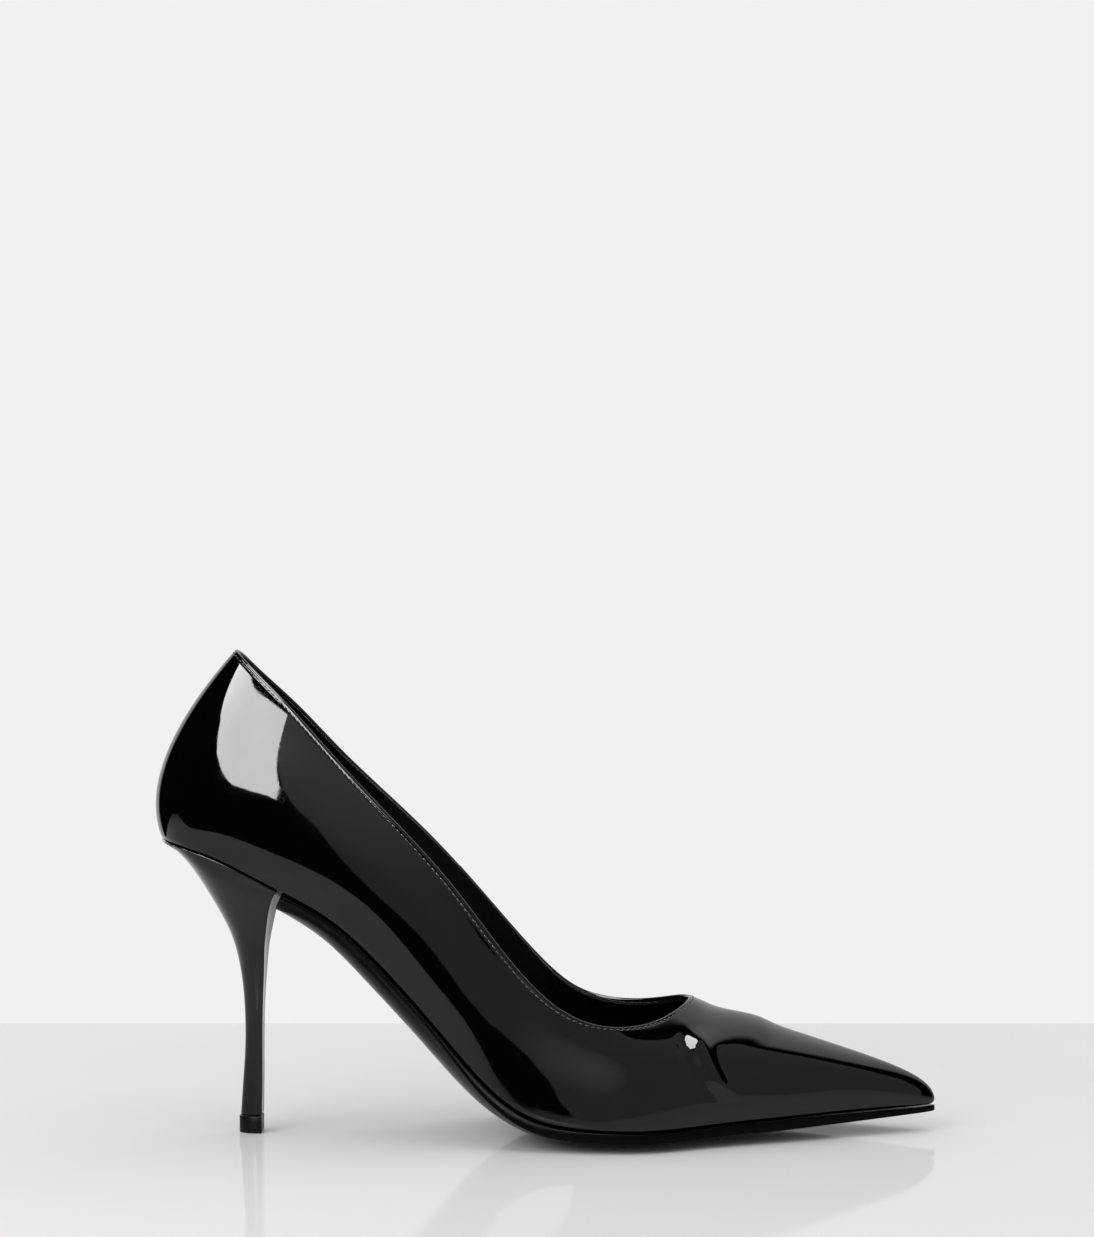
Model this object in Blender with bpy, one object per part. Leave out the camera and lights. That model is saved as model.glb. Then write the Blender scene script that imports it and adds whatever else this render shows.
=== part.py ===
"""High heel pump for the right foot: pointed toe, low-cut topline, 90 mm stiletto heel, size 37.

Lengths are in millimetres and become metres when a mesh is made. +X points to the toe, +Y to the
inner (medial) side of the foot and +Z up. The origin lies on the floor, below the middle of the shoe.

Everything follows one last. Its feather line, where the side turns under the foot, is a closed loop;
so is the topline. A parameter t runs round both loops: 0 at the back seam, along the outer (lateral)
side to TOE at the tip, and back along the inner (medial) side to LOOP. A parameter v climbs the side
from the feather line (0) to the topline (1).
"""

import math

import bmesh
import bpy
import numpy as np
from mathutils import Vector

MM = 0.001  # metres in a millimetre
SHIFT = np.array([0.0, 2.6, 0.0])  # from the last's own middle to the middle of the whole shoe

# Heights of the feather line above the floor, along the shoe: seat, arch, ball and toe spring.
FEATHER_PROFILE = [
    (-121, 89.6), (-115.3, 88.4), (-97, 83.0), (-79, 73.9), (-61, 63.5), (-45, 48.2), (-31.2, 33.2),
    (-18, 18.7), (-4, 9.3), (12, 6.6), (30, 6.1), (60, 7.0), (90, 7.7), (120, 8.2),
]  # fmt: skip

# Stations from heel to toe: feather x and y, then topline x, y and z.
LATERAL = [
    (-115.3, 0.0, -93.0, 0.0, 144.8),
    (-113.4, -9.5, -91.2, -6.6, 143.0),
    (-107.6, -17.2, -85.4, -13.4, 137.8),
    (-97.5, -20.1, -74.5, -19.2, 127.2),
    (-83.0, -21.0, -61.5, -22.2, 113.0),
    (-66.5, -21.6, -46.0, -24.8, 96.6),
    (-51.0, -22.7, -29.5, -27.4, 78.8),
    (-36.5, -25.6, -14.5, -30.0, 59.6),
    (-23.0, -29.4, -2.5, -31.4, 46.0),
    (-8.0, -34.2, 7.5, -30.4, 38.8),
    (10.0, -37.9, 16.5, -28.2, 35.7),
    (29.0, -38.0, 24.5, -24.8, 35.1),
    (48.0, -29.2, 31.2, -20.2, 35.9),
    (66.0, -21.9, 36.4, -15.0, 37.6),
    (83.0, -14.2, 40.0, -9.6, 39.2),
    (98.0, -7.8, 41.9, -5.0, 40.2),
    (110.0, -2.8, 42.6, -1.6, 40.6),
    (116.6, 1.7, 42.8, 0.6, 40.7),
]
MEDIAL = [
    (-113.4, 9.5, -91.2, 6.6, 143.0),
    (-107.6, 17.8, -85.6, 13.4, 137.0),
    (-97.5, 22.2, -75.0, 19.0, 126.6),
    (-83.0, 20.6, -62.2, 21.6, 113.0),
    (-66.5, 16.4, -46.8, 23.4, 98.0),
    (-51.0, 14.8, -30.5, 25.2, 81.6),
    (-36.5, 17.0, -15.5, 27.2, 64.4),
    (-23.0, 22.6, -3.0, 28.6, 50.4),
    (-8.0, 28.8, 7.5, 28.4, 41.4),
    (10.0, 33.0, 16.5, 26.8, 37.9),
    (29.0, 33.6, 24.5, 24.0, 37.1),
    (48.0, 30.6, 31.2, 19.8, 37.7),
    (66.0, 25.0, 36.4, 15.0, 38.9),
    (83.0, 18.4, 40.0, 10.0, 40.0),
    (98.0, 11.8, 41.9, 5.8, 40.5),
    (110.0, 5.8, 42.6, 2.6, 40.7),
]
TOE = len(LATERAL) - 1
LOOP = TOE + len(MEDIAL) + 1

# How each station's side is curved, from heel to toe, the same on both sides of the foot.
LOW_BULGE = [
    9.6, 8.1, 6.0, 4.7, 5.0, 6.7, 6.7, 5.3, 2.9,
    0.6, -0.6, -0.2, 0.2, 0.4, 1.7, 2.3, 1.4, 1.2,
]  # fmt: skip
LOW_RISE = [
    16.0, 16.0, 16.1, 15.6, 14.0, 11.8, 10.6, 10.0, 9.5,
    9.8, 10.2, 10.7, 11.5, 12.1, 12.3, 11.8, 11.1, 10.5,
]  # fmt: skip
HIGH_SHARE = [
    0.37, 0.36, 0.35, 0.34, 0.34, 0.35, 0.37, 0.37, 0.39,
    0.4, 0.41, 0.45, 0.49, 0.55, 0.62, 0.68, 0.72, 0.74,
]  # fmt: skip
HIGH_LIFT = [0, 0, 0, 0, 0, 0, 0, 0, 0.5, 1.5, 3, 4.5, 5.6, 6.0, 6.0, 5.6, 5.3, 5.2]
HIGH_BULGE = [
    10.4, 9.1, 7.4, 6.1, 4.4, 2.4, 1.2, 0.3, 1.0,
    3.7, 5.6, 6.9, 7.9, 7.9, 7.1, 5.5, 2.8, -0.5,
]  # fmt: skip
INWARD_STEP = [24, 22, 16, 7, 0, 0, 0, 0, 0, 0, 0, 0, 0, 0, 0, -4, -12, -26]

# Sag of the bottom's middle below its edges, by station: seat, arch, ball, toe.
BOTTOM_SAG = [0.0, 0.8, 1.6, 2.0, 2.6, 3.4, 4.0, 4.0, 3.9, 3.7, 3.5, 3.3, 2.9, 2.3, 1.6, 0.9, 0.4, 0.0]
SAG_POWER = 2.6

# Layers, measured inwards from the outer face of the upper.
UPPER_THICK = 1.0
TAPE_DEPTH, TAPE_THICK = 1.2, 0.2
COUNTER_DEPTH, COUNTER_THICK = 1.65, 0.9
PUFF_DEPTH, PUFF_THICK = 1.25, 0.6
LINING_DEPTH, LINING_THICK = 1.65, 0.7
LINING_OVER_COUNTER, LINING_OVER_PUFF = 1.2, 0.5

# Heights of the bottom's layers above the feather line.
OUTSOLE_TOP, OUTSOLE_THICK = -0.4, 3.0
MARGIN_WIDTH = 9.0
BOARD_LOW, BOARD_HIGH = 1.3, 3.1
SHANK_LOW, SHANK_HIGH = -0.05, 1.0
FILLER_LOW, FILLER_HIGH = 0.0, 0.95
SOCK_LOW, SOCK_THICK = 3.4, 0.8
PAD_THICK = 1.5
GAP = 0.3

# Heights up the side, as shares, at which the upper has a row of points.
SIDE_LEVELS = [0.0, 0.06, 0.16, 0.3, 0.45, 0.6, 0.75, 0.88, 0.96, 1.0]

# Stations of the seams and of the ends of the parts.
BREAST = 4.25
INNER_SEAM = 27.75
LINING_SEAM = 8.6
COUNTER_END = 5.6
PUFF_START = 13.2

# Heel, from the seat down: back x and z, front x and z, half-width.
HEEL_LEVELS = [
    (-109.3, 83.4, -80.6, 70.9, 20.9),
    (-103.4, 75.4, -82.0, 66.2, 17.0),
    (-98.0, 66.4, -83.1, 60.2, 12.4),
    (-94.3, 58.6, -83.8, 55.2, 8.9),
    (-92.0, 50.0, -84.2, 48.6, 6.1),
    (-90.7, 39.4, -84.7, 39.0, 4.4),
    (-90.4, 27.0, -84.9, 27.0, 3.8),
    (-91.0, 16.0, -84.9, 16.0, 3.7),
    (-91.7, 5.3, -85.1, 5.3, 3.9),
]
HEEL_COVER_THICK, HEEL_CORE_INSET = 0.45, 0.65
TIP_HEIGHT, TIP_EDGE = 5.0, 0.3
TIP_BACK, TIP_FRONT, TIP_HALF_WIDTH = -92.1, -85.1, 4.1
STEM_X = -87.9  # the axis of the steel tube and of the tip's pin
TUBE_RADIUS, TUBE_BORE = 1.35, 0.95
TUBE_LOW, TUBE_HIGH = 5.6, 64.0
PIN_RADIUS, PIN_LOW, PIN_HIGH = 0.7, 1.5, 17.0

# Screws and nails: radius, head radius, head height and length.
SCREW_SIZE = (1.6, 3.0, 1.6, 14.0)
NAIL_SIZE = (0.7, 1.4, 0.6, 9.0)
SCREW_X = -89.0
NAIL_PLACES = [(-98.5, -7.0), (-98.5, 7.0), (-86.0, -10.0), (-86.0, 10.0)]
RIVET_X = [-66.0, -36.0]
RIVET_RADIUS = 1.5
SUNK = 0.05  # how far a fastening's end lies below the face round it
HOLE_CLEARANCE = 0.2
HOLE_OPENING = 3.0  # how far a cutter reaches past the face that it opens


def natural_spline(knots, values):
    """A smooth curve through (knot, value) pairs, as a function of an array."""
    x, y = np.asarray(knots, float), np.asarray(values, float)
    y = y.reshape(len(x), -1)
    h = np.diff(x)
    a, b = np.eye(len(x)), np.zeros_like(y)
    for i in range(1, len(x) - 1):
        a[i, i - 1 : i + 2] = h[i - 1], 2 * (h[i - 1] + h[i]), h[i]
        b[i] = 6 * ((y[i + 1] - y[i]) / h[i] - (y[i] - y[i - 1]) / h[i - 1])
    m = np.linalg.solve(a, b)

    def at(t):
        t = np.clip(np.asarray(t, float), x[0], x[-1])
        i = np.clip(np.searchsorted(x, t, side="right") - 1, 0, len(x) - 2)
        step = h[i][..., None]
        to_right, from_left = (x[i + 1] - t)[..., None], (t - x[i])[..., None]
        return (
            (m[i] * to_right**3 + m[i + 1] * from_left**3) / (6 * step)
            + (y[i] / step - m[i] * step / 6) * to_right
            + (y[i + 1] / step - m[i + 1] * step / 6) * from_left
        )

    return at


def loop_spline(values):
    """A smooth closed curve through values at t = 0, 1, 2 and so on, as a function of an array."""
    v = np.asarray(values, float).reshape(len(values), -1)
    n = len(v)
    a = np.eye(n) * 4 / 6 + (np.roll(np.eye(n), 1, 0) + np.roll(np.eye(n), -1, 0)) / 6
    control = np.linalg.solve(a, v)

    def at(t):
        t = np.asarray(t, float) % n
        i, f = np.floor(t).astype(int), (t - np.floor(t))[..., None]
        weights = (
            (1 - f) ** 3 / 6,
            (3 * f**3 - 6 * f**2 + 4) / 6,
            (-3 * f**3 + 3 * f**2 + 3 * f + 1) / 6,
            f**3 / 6,
        )
        return sum(w * control[(i + k - 1) % n] for k, w in enumerate(weights))

    return at


def both_sides(values):
    """Station values from heel to toe, carried on back along the other side."""
    return loop_spline(list(values) + list(values[1:-1])[::-1])


def scalar(curve):
    return lambda t: curve(t)[..., 0]


feather_height = scalar(natural_spline(*zip(*FEATHER_PROFILE)))
STATIONS = np.array(LATERAL + MEDIAL[::-1], float)
feather_loop = loop_spline(np.column_stack([STATIONS[:, :2], feather_height(STATIONS[:, 0])]))
topline_loop = loop_spline(STATIONS[:, 2:])
low_bulge, low_rise, high_share, high_lift, high_bulge, inward_step, bottom_sag = (
    both_sides(values)
    for values in (LOW_BULGE, LOW_RISE, HIGH_SHARE, HIGH_LIFT, HIGH_BULGE, INWARD_STEP, BOTTOM_SAG)
)


SIDE_T = np.linspace(0, TOE, 400)
SIDE_X, OUTER_Y = feather_loop(SIDE_T)[:, :2].T
INNER_X, INNER_Y = feather_loop(LOOP - SIDE_T)[:, :2].T
SIDE_SAG = bottom_sag(SIDE_T)[:, 0]


def smooth_step(x, low, high):
    s = np.clip((np.asarray(x, float) - low) / (high - low), 0, 1)
    return s * s * (3 - 2 * s)


def station(t):
    """How far along its side t is, from 0 at the heel to TOE at the tip."""
    t = np.asarray(t, float) % LOOP
    return np.minimum(t, LOOP - t)


def up_at(x):
    """Unit vectors square to the feather line, seen from the side."""
    slope = feather_height(x + 0.5) - feather_height(x - 0.5)
    length = np.sqrt(1 + slope**2)
    return np.stack([-slope / length, 0 * slope, 1 / length], -1)


def outward_at(t):
    """Unit vectors that point away from the foot, level and square to the feather loop."""
    step = feather_loop(t + 0.02) - feather_loop(t - 0.02)
    out = np.stack([step[..., 1], -step[..., 0], 0 * step[..., 0]], -1)
    return out / np.linalg.norm(out, axis=-1, keepdims=True)


def upper_face(t, v):
    """Points of the upper's outer face: one smooth arch for each t, from feather line to topline."""
    foot, top = feather_loop(t), topline_loop(t)
    out, up = outward_at(t), up_at(foot[..., 0])
    low = foot + out * low_bulge(t) + up * low_rise(t)
    high = top + (foot - top) * high_share(t) + up * high_lift(t) + out * high_bulge(t)
    v = np.asarray(v, float)[..., None]
    u = 1 - v
    return u**3 * foot + 3 * u * u * v * low + 3 * u * v * v * high + v**3 * top


def upper_layer(t, v, depth):
    """Points a given depth inside the upper's outer face."""
    e = 0.01
    low, high = np.clip(v - e, 0, 1), np.clip(v + e, 0, 1)
    along = upper_face(t + e, v) - upper_face(t - e, v)
    across = upper_face(t, high) - upper_face(t, low)
    normal = np.cross(along, across)
    normal /= np.linalg.norm(normal, axis=-1, keepdims=True)
    return upper_face(t, v) - normal * np.asarray(depth)[..., None]


def height_share(t, height):
    """The v at which the side has climbed this high above the feather line."""
    return height / (3 * low_rise(t)[..., 0]) * 1.1


def under_foot(plan, height):
    """Points of a sheet under the foot, for plan positions: level with the feather line at the edges
    and sagging towards the middle."""
    x, y = plan[..., 0], plan[..., 1]
    outer, inner = np.interp(x, SIDE_X, OUTER_Y), np.interp(x, INNER_X, INNER_Y)
    half = np.maximum(inner - outer, 0.2) / 2
    across = np.clip(np.abs(y - (inner + outer) / 2) / half, 0, 1)
    sag = np.interp(x, SIDE_X, SIDE_SAG) * (1 - across**SAG_POWER)
    base = np.stack([x, y, feather_height(x)], -1)
    return base + up_at(x) * (height - sag)[..., None]


def edge_plan(t, inset):
    """Plan positions moved in from the feather line."""
    return (feather_loop(t) - outward_at(t) * np.asarray(inset)[..., None])[..., :2]


def margin_point(t, width, height):
    """A point of the lasting margin, which is turned in under the insole."""
    foot, other = feather_loop(t), feather_loop(LOOP - t)
    target_x = foot[..., 0] + inward_step(t)[..., 0]
    target = np.stack([target_x, (foot[..., 1] + other[..., 1]) / 2], -1)
    way = target - foot[..., :2]
    reach = np.linalg.norm(way, axis=-1, keepdims=True)
    return under_foot(foot[..., :2] + way * np.minimum(0.7, width / reach), height)


def bottom_plate(stations, inset, across, height):
    """A sheet under the foot: rows of points across it, from the lateral edge to the medial one."""
    t = np.asarray(stations, float)
    w = np.linspace(-1, 1, across)
    share = (w + 1)[None, :, None] / 2
    outer, inner = edge_plan(t, inset + 0 * t), edge_plan(LOOP - t, inset + 0 * t)
    plan = outer[:, None] * (1 - share) + inner[:, None] * share
    lift = height(t[:, None], w[None, :]) if callable(height) else height
    return under_foot(plan, lift)


def middle_at(x):
    """The y of the bottom's middle line."""
    return (np.interp(x, SIDE_X, OUTER_Y) + np.interp(x, INNER_X, INNER_Y)) / 2


def strip(x_values, half_width, across, height):
    """A sheet of even width along the middle line of the bottom."""
    x = np.asarray(x_values, float)[:, None]
    y = middle_at(x) + np.linspace(-half_width, half_width, across)
    return under_foot(np.stack([np.broadcast_to(x, y.shape), y], -1), height)


def clear_scene():
    for obj in list(bpy.data.objects):
        bpy.data.objects.remove(obj, do_unlink=True)


def make_material(name, colour, roughness, metallic=0.0, coat=0.0):
    material = bpy.data.materials.new(name)
    material.use_nodes = True
    shader = material.node_tree.nodes["Principled BSDF"]
    shader.inputs["Base Color"].default_value = (*colour, 1)
    shader.inputs["Roughness"].default_value = roughness
    shader.inputs["Metallic"].default_value = metallic
    shader.inputs["Coat Weight"].default_value = coat
    material.diffuse_color = (*colour, 1)
    return material


def add_sheet(bm, points):
    """Faces over a grid of points."""
    rows, columns = points.shape[:2]
    verts = [[bm.verts.new(Vector(p + SHIFT) * MM) for p in row] for row in points]
    for i in range(rows - 1):
        for j in range(columns - 1):
            bm.faces.new((verts[i][j], verts[i][j + 1], verts[i + 1][j + 1], verts[i + 1][j]))


def make_solid(name, sheets, material):
    """One closed body from sheets whose edges meet."""
    bm = bmesh.new()
    for points in sheets:
        add_sheet(bm, points)
    bmesh.ops.remove_doubles(bm, verts=bm.verts, dist=1e-6)
    bmesh.ops.dissolve_degenerate(bm, edges=bm.edges, dist=1e-7)
    bmesh.ops.recalc_face_normals(bm, faces=bm.faces)
    if bm.calc_volume(signed=True) < 0:
        bmesh.ops.reverse_faces(bm, faces=bm.faces)
    mesh = bpy.data.meshes.new(name)
    bm.to_mesh(mesh)
    bm.free()
    mesh.materials.append(material)
    mesh.shade_smooth()
    mesh.set_sharp_from_angle(angle=math.radians(35))
    obj = bpy.data.objects.new(name, mesh)
    bpy.context.scene.collection.objects.link(obj)
    return obj


def shell(name, outer, inner, material, ring=False):
    """A wall between two matching grids. A ring's last column is its first one."""
    sheets = [outer, inner, np.stack([outer[0], inner[0]]), np.stack([outer[-1], inner[-1]])]
    if not ring:
        sheets += [np.stack([outer[:, k], inner[:, k]]) for k in (0, -1)]
    return make_solid(name, sheets, material)


def upper_piece(name, t, material):
    """A piece of the upper: its side wall and the margin that is turned in under the insole."""
    foot = feather_loop(t)
    outer = [margin_point(t, MARGIN_WIDTH, 0 * t), margin_point(t, MARGIN_WIDTH / 2, 0 * t), foot]
    inner = [
        margin_point(t, MARGIN_WIDTH, 0 * t + UPPER_THICK),
        margin_point(t, MARGIN_WIDTH / 2, 0 * t + UPPER_THICK),
        under_foot(edge_plan(t, UPPER_THICK), UPPER_THICK),
    ]
    for v in SIDE_LEVELS[1:]:
        outer.append(upper_layer(t, 0 * t + v, 0 * t))
        inner.append(upper_layer(t, 0 * t + v, 0 * t + UPPER_THICK))
    return shell(name, np.array(outer), np.array(inner), material)


def layer_piece(name, t, levels, depth, thick, material):
    """A sheet inside the upper; levels holds the height v of each row."""
    outer, inner = [], []
    for v in levels:
        outer.append(upper_layer(t, v + 0 * t, depth(t, v) + 0 * t))
        inner.append(upper_layer(t, v + 0 * t, depth(t, v) + thick + 0 * t))
    return shell(name, np.array(outer), np.array(inner), material)


def even_depth(depth):
    return lambda t, v: depth


def lining_depth(t, v):
    """The lining stands further in where the counter and the toe puff lie behind it."""
    over_counter = (1 - smooth_step(station(t), COUNTER_END, COUNTER_END + 1.6)) * (
        1 - smooth_step(v, 0.80, 0.93)
    )
    over_puff = smooth_step(station(t), PUFF_START - 1.6, PUFF_START) * (1 - smooth_step(v, 0.6, 0.78))
    return LINING_DEPTH + LINING_OVER_COUNTER * over_counter + LINING_OVER_PUFF * over_puff


def columns(start, end, step=0.5):
    """Loop parameters from start to end, on the whole steps in between."""
    inside = np.arange(math.ceil(start / step + 0.2), math.floor(end / step - 0.2) + 1) * step
    return np.concatenate([[start], inside, [end]])


def make_upper(leather, lining, board, tape):
    half_gap = 0.012
    upper_piece("vamp_and_outer_quarter", columns(half_gap, INNER_SEAM - half_gap), leather)
    upper_piece("inner_quarter", columns(INNER_SEAM + half_gap, LOOP - half_gap), leather)

    def lining_piece(name, start, end):
        t = columns(start, end)
        levels = np.linspace(height_share(t, BOARD_HIGH + GAP), 0 * t + 0.992, 7)
        layer_piece(name, t, levels, lining_depth, LINING_THICK, lining)

    lining_piece("vamp_lining", LINING_SEAM + half_gap, LOOP - LINING_SEAM - half_gap)
    lining_piece("quarter_lining", LOOP - LINING_SEAM + half_gap, LOOP + LINING_SEAM - half_gap)

    t = columns(LOOP - COUNTER_END, LOOP + COUNTER_END)
    high = 0.76 - 0.16 * smooth_step(station(t), 2.0, COUNTER_END)
    levels = np.linspace(height_share(t, BOARD_HIGH + GAP), high, 6)
    layer_piece("heel_counter", t, levels, even_depth(COUNTER_DEPTH), COUNTER_THICK, board)

    t = columns(PUFF_START, LOOP - PUFF_START)
    levels = np.linspace(height_share(t, BOARD_HIGH + GAP), 0 * t + 0.52, 5)
    layer_piece("toe_puff", t, levels, even_depth(PUFF_DEPTH), PUFF_THICK, board)

    t = columns(0.3, LOOP - 0.3)
    layer_piece("topline_tape", t, [0.945, 0.985], even_depth(TAPE_DEPTH), TAPE_THICK, tape)

    t = LOOP + np.array([-0.5, -half_gap, half_gap, 0.5])
    layer_piece("back_seam_tape", t, SIDE_LEVELS[2:8], even_depth(TAPE_DEPTH), TAPE_THICK, tape)


def plate_solid(name, stations, inset, across, low, high, material):
    """A plate under the foot between two heights."""
    bottom = bottom_plate(stations, inset, across, low)
    top = bottom_plate(stations, inset, across, high)
    return plate_between(name, bottom, top, material)


def plate_between(name, bottom, top, material):
    sides = [np.stack([bottom[:, k], top[:, k]]) for k in (0, -1)]
    ends = [np.stack([bottom[k], top[k]]) for k in (0, -1)]
    return make_solid(name, [bottom, top, *sides, *ends], material)


def outsole_low(t, w):
    """The underside: a full edge at the forepart, a thin one at the waist and at the tip."""
    edge = OUTSOLE_THICK - 1.7 * (1 - smooth_step(t, 7.0, 9.5)) - 1.3 * smooth_step(t, 13.0, TOE)
    full = OUTSOLE_THICK + 0.4 * (1 - smooth_step(t, 7.5, 9.5)) - 1.3 * smooth_step(t, 13.0, TOE)
    return OUTSOLE_TOP - full + (full - edge) * np.abs(w) ** 3


def make_outsole(material):
    stations = np.concatenate([columns(BREAST + 0.08, 16, 0.5), [16.4, 16.75, TOE]])
    inset = -0.5 * smooth_step(stations, 7, 10)
    top = bottom_plate(stations, inset, 9, OUTSOLE_TOP)
    bottom = bottom_plate(stations, inset, 9, outsole_low)
    bottom[..., 2] = np.maximum(bottom[..., 2], 0)
    plate_between("outsole", bottom, top, material)


def sock_low(t, w):
    """The sock's underside, raised over the two pads."""
    heel = smooth_step(t, 0, 0.5) * (1 - smooth_step(t, 4.0, 5.0))
    forefoot = smooth_step(t, 8.4, 9.4) * (1 - smooth_step(t, 13.1, 14.1))
    return SOCK_LOW + (PAD_THICK + GAP) * (heel + forefoot) * (1 - smooth_step(np.abs(w), 0.75, 1.0))


def make_bottom(board_material, sock_material, foam, steel, cork):
    heel_rows = [0, 0.5, 1, 1.5, 2, 2.5]
    board_rows = np.concatenate([heel_rows, np.arange(3, 16.1, 0.5), [16.25]])
    board = plate_solid("insole_board", board_rows, 1.4, 7, BOARD_LOW, BOARD_HIGH, board_material)
    inner_rows = np.concatenate([[0.0], np.arange(0.5, 15.6, 0.5)])
    sock_inset = lining_depth(inner_rows, height_share(inner_rows, 5.0)) + LINING_THICK + 0.9
    plate_between(
        "sock",
        bottom_plate(inner_rows, sock_inset, 9, sock_low),
        bottom_plate(inner_rows, sock_inset, 9, lambda t, w: sock_low(t, w) + SOCK_THICK),
        sock_material,
    )
    pad_high = SOCK_LOW + PAD_THICK
    plate_solid("heel_pad", [0.6, 1, 1.5, 2, 2.5, 3, 3.5, 4], 9.5, 5, SOCK_LOW, pad_high, foam)
    plate_solid("forefoot_pad", np.arange(9.5, 13.1, 0.5), 12.0, 5, SOCK_LOW, pad_high, foam)
    filler_rows = np.arange(9.5, 14.6, 0.5)
    plate_solid("bottom_filler", filler_rows, MARGIN_WIDTH + 1.2, 7, FILLER_LOW, FILLER_HIGH, cork)
    shank_x = np.linspace(-100, -22, 14)
    low = strip(shank_x, 5.0, 3, SHANK_LOW)
    high = strip(shank_x, 5.0, 3, SHANK_HIGH)
    shank = plate_between("steel_shank", low, high, steel)
    return board, shank


def heel_ring(level, inset, count=20, across=6):
    """One ring of the heel, from the lateral breast corner round the back and across the breast."""
    back_x, back_z, front_x, front_z, half = HEEL_LEVELS[level]
    share = (level + 1) / len(HEEL_LEVELS)
    back, front = np.array([back_x, back_z]), np.array([front_x, front_z])
    way = (front - back) / np.linalg.norm(front - back)
    back, front = back + way * inset, front - way * inset
    half = half - inset
    s = np.linspace(-1, 1, count + 1)
    along_seat, width_seat = seat_outline(s)
    angle = s * math.pi / 2
    along_tip = 1 - np.cos(angle) ** 0.85
    width_tip = np.sin(angle) * (1 - 0.10 * np.abs(s) ** 5)
    blend = smooth_step(share, 0.05, 0.75)
    along = along_seat * (1 - blend) + along_tip * blend
    width = width_seat * (1 - blend) + width_tip * blend
    points = back[None] + (front - back)[None] * along[:, None]
    ring = np.stack([points[:, 0], width * half, points[:, 1]], -1)
    line = np.linspace(0, 1, across + 1)[1:-1, None]
    hollow = (0.12 - 0.08 * blend) * np.sin(math.pi * line) * np.linalg.norm(front - back)
    breast = ring[-1] * (1 - line) + ring[0] * line
    breast[:, [0, 2]] -= hollow * way
    return np.concatenate([ring, breast, ring[:1]])


def seat_outline(s):
    """The seat's outline for s from -1 (lateral corner) to 1: share of its length, share of its width."""
    points = feather_loop((-s * BREAST) % LOOP)
    length = points[0, 0] - feather_loop(np.array([0.0]))[0, 0]
    widest = np.abs(points[:, 1]).max()
    return (points[:, 0] - points[len(s) // 2, 0]) / length, points[:, 1] / widest


def seat_ring(inset, height, count=20, across=6):
    """The heel's top edge, just below the feather line."""
    s = np.linspace(-1, 1, count + 1)
    rim = edge_plan((-s * (BREAST - inset * 0.05)) % LOOP, inset + 0 * s)
    line = np.linspace(0, 1, across + 1)[1:-1, None]
    breast = rim[-1] * (1 - line) + rim[0] * line
    return under_foot(np.concatenate([rim, breast, rim[:1]]), height)


def heel_wall(inset, per_span=2):
    """The heel's side as rows of rings from the seat to the tip."""
    top = seat_ring(inset + 0.15, -GAP - inset * 0.5)
    rings = [top] + [heel_ring(k, inset) for k in range(len(HEEL_LEVELS))]
    rings = np.array(rings)
    knots = np.arange(len(rings))
    smooth = natural_spline(knots, rings.reshape(len(rings), -1))
    rows = np.linspace(0, len(rings) - 1, (len(rings) - 1) * per_span + 1)
    return smooth(rows).reshape(len(rows), *rings.shape[1:])


def disc(ring):
    """A flat end over a ring, drawn to its middle."""
    middle = ring[:-1].mean(0)
    return np.stack([ring, np.broadcast_to(middle, ring.shape)])


def seat_cap(height, ring, count=20, across=6):
    """The heel's top face; its rows run from side to side between points of its top edge."""
    share = np.linspace(0, 1, across + 1)[:, None]
    middle = count // 2
    rows = [ring[middle - k] * (1 - share) + ring[middle + k] * share for k in range(middle + 1)]
    rows = under_foot(np.array(rows)[..., :2], height)
    rows[:, 0] = ring[middle::-1]
    rows[:, -1] = ring[middle : count + 1]
    rows[0] = ring[middle]
    rows[-1] = np.concatenate([ring[:1], ring[-2:count:-1], ring[count : count + 1]])
    return rows


def circle_about(direction, sides):
    """A unit circle square to a direction. Its last point is its first one."""
    turn = np.array(Vector(direction).to_track_quat("Z", "Y").to_matrix())
    angles = np.linspace(0, 2 * math.pi, sides + 1)
    circle = np.column_stack([np.cos(angles), np.sin(angles), 0 * angles]) @ turn.T
    circle[-1] = circle[0]
    return circle


def turned(name, start, way, profile, material, sides=16):
    """A body turned about a line. Each row of its profile is a radius and a distance along the line."""
    circle = circle_about(way, sides)
    rows = [start + way * distance + circle * radius for radius, distance in profile]
    return make_solid(name, [np.array(rows)], material)


def round_bar(name, radius, start, end, material):
    """A plain round bar between two points."""
    length = np.linalg.norm(end - start)
    profile = [(0, 0), (radius, 0), (radius, length), (0, length)]
    return turned(name, start, (end - start) / length, profile, material, sides=20)


def headed_bar(name, size, start, way, material):
    """A nail or screw with a countersunk head; size holds its radius, head radius, head height, length."""
    radius, head_radius, head_height, length = size
    profile = [(0, 0), (head_radius, 0), (radius, head_height), (radius, length - radius), (0, length)]
    return turned(name, start, way, profile, material)


def bar_hole(name, size, start, way, material):
    """A cutter that clears a nail or screw all round and is open above its head."""
    radius, head_radius, head_height, length = size
    wide = head_radius + HOLE_CLEARANCE
    narrow = radius + HOLE_CLEARANCE
    end = length + GAP
    profile = [(0, -HOLE_OPENING), (wide, -HOLE_OPENING), (wide, 0)]
    profile += [(narrow, head_height), (narrow, end), (0, end)]
    return turned(name, start, way, profile, material)


def cut(target, cutters):
    """Cuts each cutter out of the target and hides the cutters."""
    for cutter in cutters:
        modifier = target.modifiers.new("hole", "BOOLEAN")
        modifier.operation = "DIFFERENCE"
        modifier.solver = "EXACT"
        modifier.object = cutter
        cutter.hide_render = True
        cutter.display_type = "WIRE"


def on_stem(z):
    """A point of the stem's axis."""
    return np.array([STEM_X, 0.0, z])


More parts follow.
